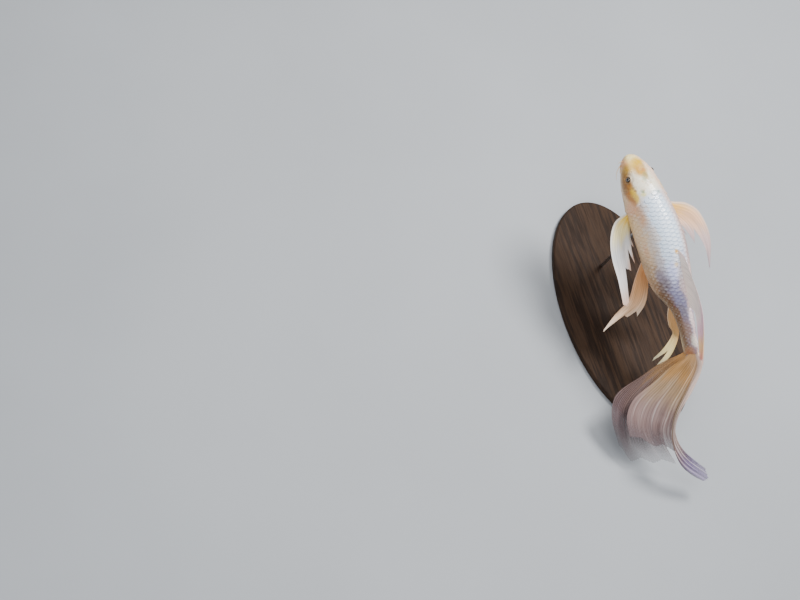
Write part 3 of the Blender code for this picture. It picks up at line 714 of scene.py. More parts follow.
# ---- fins
def between(places, values, at):
    """Points at one place between guide rays, on curves that never swing beyond them."""
    steps = np.diff(values, axis=0) / np.diff(places)[:, None, None]
    before, after = np.concatenate([steps[:1], steps]), np.concatenate([steps, steps[-1:]])
    same = before * after > 0
    slope = np.where(same, 2 * before * after / np.where(same, before + after, 1), 0)
    k = min(max(int(np.searchsorted(places, at)) - 1, 0), len(places) - 2)
    span = places[k + 1] - places[k]
    return hermite(values, k, slope, span, (at - places[k]) / span)


def ray_knots(root, points):
    """Guide ray as (share of its length, point), from under the skin or the stalk's end."""
    share, angle = root
    start = body_point(share, angle)
    if share > 1:
        start[0] = body_point(share, 0)[0]
    else:
        start = start - body_normal(share, angle) * ROOT_DEPTH
    line = np.vstack([start, np.array(points) / 1000])
    run = np.concatenate([[0], np.cumsum(np.linalg.norm(np.diff(line, axis=0), axis=1))])
    return list(zip(run / run[-1], line))


def fin_sheet(rays, ends, columns, rows, frays):
    """Grid of points over a fin, with the share of the guide rays' length at each."""
    places = np.array([ray[0] for ray in rays], float)
    knots = [ray_knots(root, points) for _, root, points in rays]
    reach = np.interp(columns, *split(ends))
    reach = reach - FRAY * np.abs(np.sin(math.pi * columns * frays)) ** 0.5
    along = reach[:, None] * np.linspace(0, 1, rows)
    sheet = [
        between(places, np.array([smooth(line, at) for line in knots]), column)
        for column, at in zip(columns, along)
    ]
    return np.array(sheet), along


def sheet_normal(sheet):
    return unit(np.cross(np.gradient(sheet, axis=0), np.gradient(sheet, axis=1)))


def ray_ridge(columns, along, count):
    """1 on a ray and 0 between rays. Each ray splits in two on its way to the edge."""
    within = ((columns * count) % 1.0)[:, None] - 0.5
    branch = RAY_SPLIT * fade(along, 0.35, 0.95)
    return np.maximum(bell(within - branch, RAY_WIDTH), bell(within + branch, RAY_WIDTH))


def fin_waves(name, columns, along):
    """Uneven pleats that run along the rays, tighter towards the leading edge, and soft waves."""
    folds, height, swell = FIN_SHAPES[name][4:]
    rng = np.random.default_rng(SEED + list(FINS).index(name))
    phase = rng.uniform(0, 2 * math.pi, 6)
    column = columns[:, None]
    turns = 2 * math.pi * folds * column**0.75
    drift = 0.5 * np.sin(3.1 * along + phase[0]) + 0.3 * np.sin(7.3 * along + phase[1])
    pleat = np.sin(turns + drift + phase[2]) + 0.7 * np.sin(0.57 * turns - drift + phase[3])
    pleat = 0.6 * pleat * (1 - 0.75 * fade(column, 0.35, 0.8))
    wave = np.sin(2 * math.pi * (1.3 * column + 0.8 * along) + phase[4])
    wave = wave + 0.6 * np.sin(2 * math.pi * (2.1 * column - 1.4 * along) + phase[5])
    grown = fade(along, 0.08, 0.7)
    return (height * pleat + 0.6 * swell * wave) * grown, pleat * grown


def make_fin(name, material):
    rays, ends = FINS[name]
    count, fineness, rows, base = FIN_SHAPES[name][:4]
    columns = np.linspace(0, 1, count * fineness + 1)
    sheet, along = fin_sheet(rays, ends, columns, rows, count)
    rise, pleat = fin_waves(name, columns, along)
    sheet = sheet + sheet_normal(sheet) * rise[..., None]
    ridge = ray_ridge(columns, along, count)
    thick = MEMBRANE + RAY_HEIGHT * ridge * (1.1 - 0.75 * along)
    thick = thick + base * (1 - fade(along, 0.0, 0.14)) ** 2
    thick[:, -1] = MEMBRANE * 0.7
    half = sheet_normal(sheet) * (thick / 2)[..., None]
    points = np.concatenate([sheet + half, sheet - half])
    obj = piece(name + "_veil", points, slab_faces(len(columns), rows), (name,), material)
    place = np.broadcast_to(columns[:, None], along.shape)
    ray = np.stack([place, along, ridge], -1)
    edge = np.stack([along / along[:, -1:], place * count, pleat], -1)
    give(obj, "ray", np.concatenate([ray, ray]))
    give(obj, "edge", np.concatenate([edge, edge]))


# ---- eyes and barbels
def make_eye(name, side, node_name, material):
    """Eyeball turned about the axis it looks along, with a shallow iris and a pupil."""
    share, angle = EYE_AT[0], side * EYE_AT[1]
    out = body_normal(share, angle)
    centre = body_point(share, angle) - out * EYE_SUNK
    degrees = np.concatenate(EYE_TURNS)
    turn = np.radians(degrees)[:, None]
    radius = EYE_RADIUS - EYE_SHRINK + CORNEA[0] * bell(degrees, CORNEA[1])[:, None]
    helper = unit(np.cross(out, (0, 0, 1.0)))
    wide = radius * np.sin(turn)
    points = centre + out * radius * np.cos(turn)
    points = ring_points(points, helper * wide, np.cross(out, helper) * wide, EYE_SIDES)
    points = np.vstack([points, centre + out * radius[0], centre - out * radius[-1]])
    faces = tube_faces(len(turn), EYE_SIDES)
    obj = piece(name, points, turned(faces) if side > 0 else faces, (node_name,), material)
    flat = np.repeat(degrees / IRIS_TURN, EYE_SIDES)
    spin = np.tile(np.radians(np.arange(EYE_SIDES) * 360 / EYE_SIDES), len(turn))
    iris = np.stack([flat, np.cos(spin), np.sin(spin)], -1)
    give(obj, "iris", np.vstack([iris, (0, 0, 0), (3, 0, 0)]))


def make_barbel(name, root, drop, thickness, side, material):
    """Feeler that swells a little at its root and thins to a round tip."""
    share, angle = root[0], side * root[1]
    out = body_normal(share, angle)
    start = body_point(share, angle)
    knots = [(BARBEL_START, start - out * BARBEL_DEPTH)]
    for k, (x, y, z) in enumerate(((0, 0, 0), *drop)):
        knots.append((k, start + out * BARBEL_RISE + (side * x, y, z)))
    at = np.linspace(BARBEL_START, len(drop), BARBEL_RINGS)
    along = (at - at[0]) / (at[-1] - at[0])
    radii = thickness * (1 - 0.62 * along) * (1 + 0.7 * bell(along, 0.14))
    radii = radii * (1 + 0.03 * np.sin(along * 90))
    radii = (radii * np.sqrt(np.clip(1.02 - along**12, 0.02, 1)))[:, None]
    line = smooth(knots, at)
    run = unit(np.gradient(line, axis=0))
    up = unit(np.cross(run, np.cross((0, 0, 1.0), run)))
    points = ring_points(line, up * radii, np.cross(run, up) * radii, BARBEL_SIDES)
    points = np.vstack([points, line[0], line[-1] + run[-1] * radii[-1]])
    faces = turned(tube_faces(BARBEL_RINGS, BARBEL_SIDES))
    obj = piece(name + "_feeler", points, faces, (name,), material)
    along = np.concatenate([np.repeat(along, BARBEL_SIDES), (0, 1)])
    give(obj, "ray", np.stack([along, 0 * along, 0 * along], -1))


# ---- materials
# Colours are red, green and blue as seen on a screen, each from 0 to 1.
def tint(colour):
    """The same colour as the scene counts it."""
    line = [c / 12.92 if c <= 0.04045 else ((c + 0.055) / 1.055) ** 2.4 for c in colour]
    return (*line, 1.0)


class Look:
    """A material being made, with one method for each kind of node."""

    def __init__(self, name, **values):
        self.material = bpy.data.materials.new(name)
        self.material.use_nodes = True
        self.tree = self.material.node_tree
        self.shader = self.tree.nodes["Principled BSDF"]
        for socket, value in values.items():
            self.shader.inputs[socket.replace("_", " ")].default_value = value

    def put(self, socket, value):
        if isinstance(value, bpy.types.NodeSocket):
            self.tree.links.new(value, socket)
        else:
            socket.default_value = value

    def node(self, kind, inputs, **settings):
        made = self.tree.nodes.new("ShaderNode" + kind)
        for name, value in settings.items():
            setattr(made, name, value)
        for name, value in inputs.items():
            self.put(made.inputs[name], value)
        return made

    def attribute(self, name):
        return self.node("Attribute", {}, attribute_name=name).outputs["Vector"]

    def parts(self, name):
        """The three parts of a stored vector."""
        return self.node("SeparateXYZ", {"Vector": self.attribute(name)}).outputs[:3]

    def place(self):
        return self.node("TexCoord", {}).outputs["Object"]

    def math(self, operation, a, b=0.0):
        return self.node("Math", {0: a, 1: b}, operation=operation).outputs[0]

    def times(self, value, *others):
        for other in others:
            value = self.math("MULTIPLY", value, other)
        return value

    def shift(self, value, noise, reach):
        """Value moved up and down by a noise."""
        return self.math("ADD", value, self.times(self.math("SUBTRACT", noise, 0.5), reach))

    def length(self, a, b):
        return self.math("SQRT", self.math("ADD", self.times(a, a), self.times(b, b)))

    def vector(self, operation, a, b):
        return self.node("VectorMath", {0: a, 1: b}, operation=operation).outputs["Vector"]

    def fade(self, value, low, high, start=0.0, end=1.0):
        inputs = {"Value": value, "From Min": low, "From Max": high, "To Min": start, "To Max": end}
        return self.node("MapRange", inputs, interpolation_type="SMOOTHSTEP").outputs["Result"]

    def noise(self, vector, scale, detail=3.0, roughness=0.6):
        inputs = {"Vector": vector, "Scale": scale, "Detail": detail, "Roughness": roughness}
        return self.node("TexNoise", inputs).outputs["Fac"]

    def mix(self, factor, first, second, blend="MIX"):
        pair = [tint(end) if isinstance(end, tuple) else end for end in (first, second)]
        inputs = {0: factor, 6: pair[0], 7: pair[1]}
        return self.node("Mix", inputs, data_type="RGBA", blend_type=blend).outputs[2]

    def ramp(self, value, stops):
        """Colours along a value, from stops of a place and a colour each."""
        made = self.node("ValToRGB", {"Fac": value})
        made.color_ramp.interpolation = "EASE"
        points = made.color_ramp.elements
        while len(points) < len(stops):
            points.new(0.5)
        for point, (place, *colour) in zip(points, stops):
            point.position = place
            point.color = tint(colour)
        return made.outputs["Color"]

    def bump(self, height, distance, strength=1.0, normal=None):
        inputs = {"Height": height, "Distance": distance, "Strength": strength}
        if normal is not None:
            inputs["Normal"] = normal
        return self.node("Bump", inputs).outputs["Normal"]

    def blend(self, factor, first, second):
        """Mix of two shaders."""
        return self.node("MixShader", {0: factor, 1: first, 2: second}).outputs[0]

    def finish(self, **sockets):
        for name, value in sockets.items():
            self.put(self.shader.inputs[name.replace("_", " ")], value)
        return self.material


# Colours of the body from the back round to the belly, and further aft. Aft, the lilac-grey side is
# painted shade, and the brown-grey lower flank is painted shade and orange reflection.
BACK = (0.83, 0.9, 0.98)
CREAM = (0.88, 0.84, 0.82)
FLANK = (0.95, 0.8, 0.62)
BELLY = (0.95, 0.87, 0.76)
CROWN = (0.96, 0.93, 0.84)
REAR_BACK = (0.92, 0.83, 0.83)
REAR_SIDE_PAINTED_SHADE = (0.6, 0.58, 0.72)
REAR_FLANK_PAINTED_SHADE_AND_REFLECTION = (0.54, 0.39, 0.26)
RIGHT_SIDE = (0.94, 0.78, 0.7)
FRONT_ROUND = ((0.17, *BACK), (0.28, *CREAM), (0.46, *FLANK), (0.66, *FLANK), (0.9, *BELLY))
REAR_ROUND = (
    (0.03, *REAR_BACK), (0.13, *REAR_SIDE_PAINTED_SHADE), (0.27, *REAR_SIDE_PAINTED_SHADE), (0.44, *REAR_FLANK_PAINTED_SHADE_AND_REFLECTION),
    (0.95, *BELLY),
)
OCHRE = (0.82, 0.66, 0.36)
DAPPLE = ((0.3, 0.74, 0.7, 0.68), (0.6, 1, 1, 1))

# Markings, with some painted shade and highlight among them: colour, share and angle of the middle,
# reach along and round (as shares), strength.
MARKS_AND_PAINTED_LIGHT = (
    ((0.99, 0.9, 0.62), 0.014, 12, 0.05, 0.05, 0.9),  # yellowish snout
    ((0.95, 0.78, 0.4), 0.05, 40, 0.04, 0.034, 0.85),
    ((0.92, 0.62, 0.42), 0.03, 78, 0.03, 0.026, 0.7),  # pink lips
    ((0.92, 0.62, 0.44), 0.02, 118, 0.026, 0.03, 0.7),
    ((0.92, 0.62, 0.44), 0.02, -118, 0.026, 0.03, 0.6),
    ((0.7, 0.52, 0), 0.066, 74, 0.042, 0.036, 0.92),  # ochre cheek
    ((0.58, 0.38, 0), 0.112, 80, 0.052, 0.05, 0.97),
    ((0.56, 0.35, 0), 0.156, 82, 0.04, 0.04, 0.97),
    ((0.74, 0.48, 0.1), 0.146, 62, 0.024, 0.022, 0.85),
    ((0.74, 0.45, 0.04), 0.188, 74, 0.036, 0.034, 0.9),  # and gill cover
    ((0.74, 0.48, 0.14), 0.222, 68, 0.028, 0.024, 0.85),
    ((0.72, 0.7, 0.64), 0.156, 0, 0.026, 0.018, 0.8),
    ((0.74, 0.5, 0.14), 0.12, -86, 0.06, 0.04, 0.7),
    ((0.8, 0.56, 0.22), 0.185, -74, 0.034, 0.034, 0.6),
    ((0.94, 0.8, 0.44), 0.19, -50, 0.03, 0.02, 0.55),  # faint on the right
    ((0.82, 0.65, 0), 0.054, -2, 0.038, 0.038, 1),  # yellow forehead
    ((0.76, 0.55, 0), 0.088, 4, 0.038, 0.038, 1),
    ((0.62, 0.52, 0.18), 0.122, 0, 0.03, 0.02, 0.92),
    ((0.7, 0.56, 0.3), 0.078, -18, 0.018, 0.01, 0.5),
    ((0.7, 0.42, 0), 0.092, -4, 0.012, 0.014, 0.6),  # orange spot in it
    ((0.6, 0.64, 0.5), 0.136, 8, 0.014, 0.012, 0.6),
    ((0.98, 0.8, 0.2), 0.176, 58, 0.028, 0.022, 0.9),  # yellow down the nape's left side
    ((0.96, 0.8, 0.3), 0.206, 54, 0.03, 0.018, 0.9),
    ((0.9, 0.86, 0.5), 0.2, 30, 0.014, 0.015, 0.75),
    ((0.5, 0.58, 0.42), 0.184, 29, 0.01, 0.01, 0.8),  # grey-green flecks
    ((0.46, 0.64, 0.62), 0.216, -12, 0.01, 0.01, 0.75),
    ((0.52, 0.4, 0.26), 0.158, 54, 0.008, 0.008, 0.6),
    ((0.62, 0.4, 0.22), 0.133, 72, 0.006, 0.01, 0.6),
    ((0.6, 0.42, 0.24), 0.17, 49, 0.009, 0.009, 0.7),
    ((0.42, 0.3, 0.14), 0.124, 63, 0.02, 0.015, 0.6),  # shadow round the left eye
    ((0.88, 0.66, 0.24), 0.512, 4, 0.016, 0.011, 0.9),  # two small spots on the back
    ((0.86, 0.72, 0.36), 0.574, 14, 0.018, 0.013, 0.9),
    ((0.94, 0.68, 0.52), 0.25, 88, 0.044, 0.06, 0.7),  # pink round the gill openings
    ((0.94, 0.66, 0.5), 0.248, -88, 0.05, 0.06, 0.6),
    ((0.9, 0.62, 0.44), 0.47, 84, 0.05, 0.02, 0.4),
    ((0.9, 0.62, 0.34), 0.3, 62, 0.06, 0.032, 0.6),  # beige behind the gill cover
    # painted shade on the rear flank
    ((0.56, 0.5, 0.52), 0.8, 44, 0.06, 0.022, 0.6),
    ((0.68, 0.52, 0.4), 0.915, 50, 0.09, 0.034, 0.75),  # brownish side of the stalk
    ((0.78, 0.8, 0.96), 0.6, 24, 0.06, 0.03, 0.6),
    ((0.56, 0.5, 0.56), 0.612, 68, 0.044, 0.036, 0.75),  # grey blotch before the vent
    ((0.52, 0.46, 0.48), 0.65, 56, 0.04, 0.028, 0.75),
    ((0.5, 0.4, 0.36), 0.668, 80, 0.034, 0.03, 0.8),
    ((0.56, 0.48, 0.48), 0.65, -78, 0.05, 0.04, 0.6),
    ((0.72, 0.58, 0.56), 0.34, -46, 0.07, 0.034, 0.4),  # painted shade on the right side, with some pink
    ((0.66, 0.52, 0.52), 0.43, -44, 0.08, 0.036, 0.6),
    ((0.62, 0.5, 0.52), 0.525, -44, 0.08, 0.034, 0.65),
    ((0.36, 0.26, 0.26), 0.64, 74, 0.009, 0.009, 0.6),  # darker spots in it
    ((0.38, 0.3, 0.3), 0.662, 60, 0.008, 0.009, 0.6),
    ((0.36, 0.26, 0.22), 0.68, 72, 0.009, 0.008, 0.6),
    ((0.56, 0.26, 0.2), 0.765, 76, 0.01, 0.009, 0.6),  # small reddish spot
    ((1, 0.96, 0.9), 0.958, 14, 0.036, 0.024, 0.9),  # painted highlight on the end of the stalk
    ((0.78, 0.58, 0.42), 1.005, 80, 0.03, 0.06, 0.7),  # tail root
    ((0.76, 0.5, 0.34), 1.005, -80, 0.03, 0.06, 0.8),
)


def markings_and_painted_light(look):
    """Colour of the fish at each place, with painted shade and highlight; same on skin and scales."""
    rest = look.attribute("rest")
    share, turn, right = look.parts("girth")
    wander = look.noise(rest, 26.0, 4.0)
    drift = look.vector("SUBTRACT", wander.node.outputs["Color"], (0.5, 0.5, 0.5))
    place = look.vector("ADD", rest, look.vector("MULTIPLY", drift, (0.03, 0.03, 0.03)))
    sway = look.times(look.math("SUBTRACT", wander, 0.5), 0.3)
    around = look.math("ADD", turn, sway)
    # aft of the middle the body takes the rear colours, with their painted shade and reflection
    rear = look.fade(look.math("ADD", share, look.times(sway, 0.8)), 0.46, 0.7)
    colour = look.mix(rear, look.ramp(around, FRONT_ROUND), look.ramp(around, REAR_ROUND))
    crown = look.times(look.fade(share, 0.24, 0.17), look.fade(turn, 0.5, 0.34))
    colour = look.mix(crown, colour, CROWN)
    flank = look.times(right, look.fade(turn, 0.05, 0.2, 0.0, 0.75))
    flank = look.times(flank, look.fade(turn, 0.55, 0.28, 0.25))
    colour = look.mix(flank, colour, RIGHT_SIDE)
    for paint, at, angle, along, across, strength in MARKS_AND_PAINTED_LIGHT:
        middle = rest_place(np.array(at), np.array(float(angle)))
        away = look.vector("SUBTRACT", place, tuple(float(v) for v in middle))
        away = look.vector("MULTIPLY", away, (1 / along, 1 / across, 1 / across))
        away = look.node("VectorMath", {0: away}, operation="LENGTH").outputs["Value"]
        colour = look.mix(look.fade(away, 1.25, 0.35, 0.0, strength), colour, paint)
    mottle = look.fade(look.noise(rest, 60.0, 5.0), 0.48, 0.7, 0.0, 0.45)
    colour = look.mix(look.times(look.fade(share, 0.26, 0.2), mottle), colour, OCHRE)
    dapple = look.ramp(look.noise(rest, 170.0, 5.0, 0.65), DAPPLE)
    return look.mix(0.4, colour, dapple, "MULTIPLY")


def skin_material():
    look = Look("koi_skin", Coat_Weight=0.3, Coat_Roughness=0.12)
    rest = look.attribute("rest")
    soft = look.noise(rest, 90.0, 4.0, 0.55)
    normal = look.bump(look.noise(rest, 420.0), 0.0003, 0.25, look.bump(soft, 0.0006, 0.35))
    roughness = look.fade(soft, 0.3, 0.7, 0.3, 0.46)
    return look.finish(Base_Color=markings_and_painted_light(look), Roughness=roughness, Normal=normal)


def scale_material():
    """The skin's colours, with painted shade under the scale ahead, pearl and painted highlight on
    the crown, and grooved.
    """
    look = Look("koi_scales", Coat_Weight=0.4, Coat_Roughness=0.1)
    along, across, chance = look.parts("scale")
    share, turn, _ = look.parts("girth")
    ridge = look.times(look.fade(turn, 0.11, 0.03), look.fade(share, 0.8, 0.5))
    # painted shadow at each scale's root, cast by the scale ahead; turquoise-grey and strongest along
    # the back
    root = look.times(look.fade(along, 0.25, -0.35), look.fade(ridge, 0.0, 1.0, 0.1, 0.6))
    shade = look.mix(ridge, (0.72, 0.72, 0.76), (0.54, 0.7, 0.76))
    colour = look.mix(root, markings_and_painted_light(look), shade, "MULTIPLY")
    reach = look.length(along, across)
    edge = look.times(look.fade(reach, 0.82, 0.98), look.fade(along, 0.0, 0.4, 0.0, 0.08))
    colour = look.mix(edge, colour, (0.66, 0.64, 0.66), "MULTIPLY")
    # pale scale crowns: pearl, and a painted highlight that is strongest along the back
    amount = look.math("ADD", look.fade(chance, 0.2, 1.0, 0.05, 0.25), look.times(ridge, 0.5))
    pearl_and_painted_highlight = look.times(look.fade(reach, 0.85, 0.35), look.fade(along, -0.1, 0.5), amount)
    colour = look.mix(pearl_and_painted_highlight, colour, (0.97, 0.98, 0.99))
    ahead = look.math("ADD", along, 0.55)
    rings = look.math("SINE", look.times(look.length(ahead, across), 95.0))
    fan = look.math("SINE", look.times(look.math("ARCTAN2", across, ahead), 42.0))
    fleck = look.noise(look.attribute("rest"), 300.0)
    normal = look.bump(look.math("ADD", rings, fan), 0.00004, 0.4)
    normal = look.bump(fleck, 0.0002, 0.3, normal)
    roughness = look.fade(fleck, 0.3, 0.7, 0.24, 0.38)
    return look.finish(Base_Color=colour, Roughness=roughness, Normal=normal)


# Colours along the rays from the root; leading edge and its share of the fin; how solid ray, web
# and end are; strength of the streaks; share of light let through.
PELVIC_LOOK = (
    ((0, 0.94, 0.68, 0.42), (0.3, 0.96, 0.74, 0.52), (0.6, 0.96, 0.8, 0.64),
     (1, 0.96, 0.88, 0.8)),
    (0.98, 0.84, 0.72), 0.1, 0.98, 0.88, 0.76, 0.36, 0.12,
)
FIN_LOOKS = {
    "pectoral_fin_left": (
        ((0, 1, 0.84, 0.2), (0.22, 1, 0.96, 0.74), (0.45, 0.9, 0.91, 0.92),
         (0.72, 1, 0.99, 0.99), (1, 1, 0.86, 0.78)),
        (0.98, 0.97, 0.95), 0.1, 1, 0.97, 0.85, 0.18, 0.12,
    ),
    "pectoral_fin_right": (
        ((0, 1, 0.74, 0.26), (0.2, 1, 0.8, 0.42), (0.45, 1, 0.82, 0.66),
         (0.75, 0.86, 0.76, 0.76), (1, 0.74, 0.67, 0.7)),
        (0.98, 0.9, 0.84), 0.1, 1, 0.95, 0.78, 0.3, 0.12,
    ),
    "pelvic_fin_left": PELVIC_LOOK,
    "pelvic_fin_right": PELVIC_LOOK,
    "anal_fin": (
        ((0, 0.92, 0.7, 0.44), (0.35, 0.94, 0.74, 0.48), (0.7, 0.96, 0.88, 0.62),
         (1, 1, 0.97, 0.84)),
        (0.98, 0.88, 0.76), 0.1, 0.98, 0.88, 0.8, 0.3, 0.12,
    ),
    "dorsal_fin": (
        ((0, 1, 0.96, 0.93), (0.3, 1, 0.96, 0.94), (0.6, 0.96, 0.84, 0.89),
         (0.8, 0.98, 0.87, 0.7), (1, 0.94, 0.68, 0.64)),
        (1, 0.93, 0.92), 0.1, 1, 0.98, 0.92, 0.4, 0.42,
    ),
    "tail_fin_upper": (
        ((0, 0.92, 0.72, 0.48), (0.2, 0.74, 0.56, 0.33), (0.38, 0.66, 0.55, 0.42),
         (0.68, 0.64, 0.53, 0.51), (1, 0.56, 0.48, 0.49)),
        (1, 0.9, 0.86), 0.48, 0.95, 0.79, 0.52, 0.95, 0.15,
    ),
    "tail_fin_lower": (
        ((0, 0.84, 0.62, 0.36), (0.2, 0.6, 0.45, 0.28), (0.4, 0.5, 0.41, 0.39),
         (0.7, 0.45, 0.37, 0.38), (1, 0.44, 0.4, 0.41)),
        (0.76, 0.72, 0.74), 0.1, 0.8, 0.52, 0.3, 0.4, 0.15,
    ),
}
# streak colours: the dark one is painted shade in the pleats' hollows, the pale one painted highlight
# on their crests
STREAK_PLEAT_SHADE = (0.44, 0.33, 0.3)
STREAK_PLEAT_HIGHLIGHT = (1.0, 0.97, 0.95)
WEB = (0.6, 0.52, 0.5)
CURL = (0.52, 0.44, 0.66)  # the tail fin's longest tip
CURL_STRENGTH = {"tail_fin_upper": 0.9}


def fin_colour(look, name, streak, lines):
    """Colour along the rays, with a leading edge, streaks, and a darker web between the rays."""
    stops, leading, margin, *_, streaks, _ = FIN_LOOKS[name]
    place, along, ridge = look.parts("ray")
    _, _, pleat = look.parts("edge")
    loose = look.shift(along, look.noise(streak, 0.45, 3.0, 0.55), 0.35)
    inward = look.fade(look.math("ADD", place, look.times(along, margin)), 1.3 * margin, 0.5 * margin)
    lead = look.times(inward, look.fade(along, 0.8, 0.6), 0.8)
    colour = look.mix(lead, look.ramp(loose, stops), leading)
    curl = look.times(look.fade(place, 0.4, 0.2), look.fade(loose, 0.62, 0.85))
    colour = look.mix(look.times(curl, CURL_STRENGTH.get(name, 0.0)), colour, CURL)
    strength = look.fade(place, 0.8, 0.25, 0.4 * streaks, streaks)
    # streaks, partly real and partly painted shade, darkest in the pleats' hollows
    pleat_shade_streaks = look.times(look.fade(lines, 0.4, 0.68), look.fade(pleat, 0.5, -0.9, 0.35))
    colour = look.mix(look.times(pleat_shade_streaks, strength), colour, STREAK_PLEAT_SHADE, "MULTIPLY")
    # streaks, partly real and partly painted highlight, palest on the pleats' crests
    pleat_highlight_streaks = look.times(look.fade(lines, 0.5, 0.34), look.fade(pleat, -0.2, 0.9, 0.25))
    colour = look.mix(look.times(pleat_highlight_streaks, strength), colour, STREAK_PLEAT_HIGHLIGHT)
    web = look.times(look.fade(ridge, 0.5, 0.0), look.fade(along, 0.0, 0.3, 0.05, 0.16))
    return look.mix(web, colour, WEB, "MULTIPLY")


def fin_material(name):
    """Veil of a fin: see-through between the rays and towards the edge, with light through it."""
    *_, solid_ray, solid_web, solid_end, _, through = FIN_LOOKS[name]
    look = Look("koi_" + name, Roughness=0.4, Specular_IOR_Level=0.4, Coat_Weight=0.1)
    _, along, ridge = look.parts("ray")
    share, number, _ = look.parts("edge")
    streak = look.node("CombineXYZ", {"X": number, "Y": look.times(along, 1.3)}).outputs[0]
    lines = look.noise(streak, 1.5, 4.0, 0.65)
    colour = fin_colour(look, name, streak, lines)
    solid = look.times(
        look.fade(ridge, 0.1, 0.9, solid_web, solid_ray),
        look.fade(share, 0.72, 1.0, 1.0, solid_end),
        look.fade(lines, 0.3, 0.7, 1.0, 0.88),
    )
    solid = look.math("MAXIMUM", solid, look.fade(along, 0.22, 0.02))
    normal = look.bump(look.noise(streak, 6.0), 0.00015, 0.4)
    look.finish(Base_Color=colour, Normal=normal)
    glow = look.node("BsdfTranslucent", {"Color": colour, "Normal": normal}).outputs[0]
    clear = look.node("BsdfTransparent", {}).outputs[0]
    veil = look.blend(solid, clear, look.blend(through, look.shader.outputs[0], glow))
    look.put(look.tree.nodes["Material Output"].inputs["Surface"], veil)
    return look.material


IRIS = (
    (0.0, 0.02, 0.02, 0.02), (0.48, 0.03, 0.03, 0.03), (0.51, 0.46, 0.34, 0.16),
    (0.56, 0.16, 0.12, 0.08), (0.8, 0.1, 0.08, 0.07), (0.94, 0.16, 0.12, 0.08),
    (1.0, 0.44, 0.35, 0.22),
)
FEELER = ((0.0, 0.8, 0.6, 0.38), (0.5, 0.88, 0.76, 0.6), (1.0, 0.92, 0.86, 0.78))
WOOD = (
    (0.34, 0.17, 0.12, 0.09), (0.46, 0.23, 0.165, 0.12), (0.54, 0.15, 0.105, 0.08),
    (0.66, 0.25, 0.18, 0.13),
)
STEEL = ((0.3, 0.66, 0.67, 0.69), (0.7, 0.82, 0.83, 0.84))
FLOOR = ((0.3, 0.62, 0.635, 0.655), (0.7, 0.645, 0.66, 0.68))


def eye_material():
    look = Look("koi_eye", Roughness=0.08, Coat_Weight=1.0, Coat_Roughness=0.02)
    flat, spin, turn = look.parts("iris")
    spokes = look.node("CombineXYZ", {"X": spin, "Y": turn, "Z": look.times(flat, 0.6)}).outputs[0]
    grain = look.noise(spokes, 9.0, 4.0, 0.7)
    colour = look.ramp(look.shift(flat, grain, 0.06), IRIS)
    colour = look.mix(look.fade(grain, 0.45, 0.7, 0.0, 0.4), colour, (0.12, 0.09, 0.06))
    return look.finish(Base_Color=colour)


def barbel_material():
    look = Look("koi_barbel", Roughness=0.4, Coat_Weight=0.25)
    grain = look.noise(look.place(), 900.0)
    colour = look.ramp(look.parts("ray")[0], FEELER)
    colour = look.mix(look.fade(grain, 0.4, 0.7, 0.0, 0.3), colour, (0.68, 0.48, 0.34))
    return look.finish(Base_Color=colour, Normal=look.bump(grain, 0.0001, 0.5))


def wood_material():
    look = Look("dark_wood", Specular_IOR_Level=0.12)
    grain = look.vector("MULTIPLY", look.place(), (1.0, 0.06, 1.0))
    fibre = look.noise(grain, 420.0, 4.0, 0.7)
    colour = look.ramp(look.noise(grain, 55.0, 6.0), WOOD)
    colour = look.mix(look.fade(fibre, 0.45, 0.75, 0.0, 0.5), colour, (0.11, 0.08, 0.06))
    roughness = look.fade(fibre, 0.3, 0.7, 0.55, 0.7)
    return look.finish(Base_Color=colour, Roughness=roughness, Normal=look.bump(fibre, 0.0002, 0.3))


def steel_material():
    look = Look("brushed_steel", Metallic=1.0)
    brushed = look.noise(look.vector("MULTIPLY", look.place(), (1.0, 1.0, 0.04)), 1400.0)
    roughness = look.fade(brushed, 0.3, 0.7, 0.24, 0.36)
    normal = look.bump(brushed, 0.00005, 0.4)
    return look.finish(Base_Color=look.ramp(brushed, STEEL), Roughness=roughness, Normal=normal)


def floor_material():
    look = Look("floor", Specular_IOR_Level=0.3)
    soft = look.noise(look.place(), 2.0, 4.0, 0.5)
    roughness = look.fade(soft, 0.3, 0.7, 0.6, 0.7)
    return look.finish(Base_Color=look.ramp(soft, FLOOR), Roughness=roughness)


# ---- stand and studio
def make_upright(name, node_name, edge, sides, material):
    """Oval or round piece of the stand, the size of its solid, with the same edge at both ends."""
    low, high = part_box(node_name)
    (x, y, _), half = (low + high) / 2, (high - low) / 2
    profile = [(inset, low.z + z) for inset, z in edge]
    profile += [(inset, high.z - z) for inset, z in reversed(edge)]
    centres = np.array([(x, y, z) for _, z in profile])
    wide = np.array([(half.x - inset, 0, 0) for inset, _ in profile])
    deep = np.array([(0, half.y - inset, 0) for inset, _ in profile])
    points = ring_points(centres, wide, deep, sides)
    points = np.vstack([points, (x, y, low.z), (x, y, high.z)])
    faces = tube_faces(len(profile), sides)
    obj = piece(name, points, faces, (node_name,), material, in_fish=False)
    obj.data.set_sharp_from_angle(angle=SHARP)


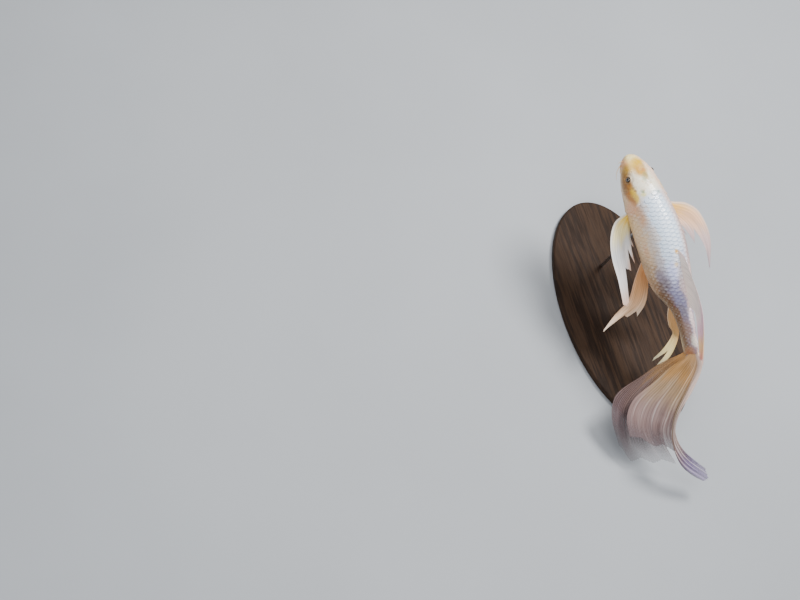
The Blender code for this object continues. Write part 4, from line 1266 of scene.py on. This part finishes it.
def make_camera():
    """Camera over the fish's back and left side, as in the photo."""
    side_turn, roll = math.radians(VIEW_SIDE), math.radians(VIEW_ROLL)
    out = Vector((math.sin(side_turn), 0, math.cos(side_turn)))
    ahead = Vector((0, -1, 0))
    side = ahead.cross(out)
    up = ahead * math.cos(roll) + side * math.sin(roll)
    right = side * math.cos(roll) - ahead * math.sin(roll)
    place = out * VIEW_DISTANCE
    aim = -right * VIEW_AIM[0] - up * VIEW_AIM[1]
    back = (place - aim).normalized()
    across = up.cross(back).normalized()
    turn = Matrix((across, back.cross(across), back)).transposed()
    data = bpy.data.cameras.new("camera")
    data.lens = LENS
    data.sensor_width = 36.0
    camera = add("camera", data)
    camera.matrix_world = FISH @ Matrix.Translation(place) @ turn.to_4x4()
    bpy.context.scene.camera = camera


def make_light(name, place, size, power, colour):
    """Round soft light that shines on the fish."""
    data = bpy.data.lights.new(name, "AREA")
    data.shape = "DISK"
    data.size = size
    data.energy = power
    data.color = colour
    light = add(name, data)
    light.location = place
    light.rotation_euler = (LIGHTS_AIM - Vector(place)).to_track_quat("-Z", "Y").to_euler()


def make_studio():
    bpy.ops.mesh.primitive_plane_add(size=14)
    floor = bpy.context.object
    floor.name = "floor"
    floor.data.materials.append(floor_material())
    for light in LIGHTS:
        make_light(*light)
    world = bpy.data.worlds.new("studio")
    world.use_nodes = True
    background = world.node_tree.nodes["Background"]
    background.inputs["Color"].default_value = tint(SKY)
    background.inputs["Strength"].default_value = SKY_STRENGTH
    bpy.context.scene.world = world


def main():
    for name in ("Cube", "Light", "Camera"):
        if name in bpy.data.objects:
            bpy.data.objects.remove(bpy.data.objects[name])
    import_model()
    make_skin(skin_material())
    scales, eye, feeler = scale_material(), eye_material(), barbel_material()
    make_scales("scales_left", 1, scales)
    make_scales("scales_right", -1, scales)
    for side, word in ((1, "left"), (-1, "right")):
        make_eye("eyeball_" + word, side, "eye_" + word, eye)
        for length, *shape in (
            ("long", LONG_BARBEL_ROOT, LONG_DROP, LONG_RADIUS),
            ("short", SHORT_BARBEL_ROOT, SHORT_DROP, SHORT_RADIUS),
        ):
            make_barbel(f"barbel_{length}_{word}", *shape, side, feeler)
    for name in FINS:
        make_fin(name, fin_material(name))
    make_upright("stand_plinth", "stand_base", BASE_EDGE, 192, wood_material())
    steel = steel_material()
    for name in ("stand_rod_front", "stand_rod_rear"):
        make_upright(name + "_bar", name, ROD_EDGE, 48, steel)
    make_studio()
    make_camera()


main()
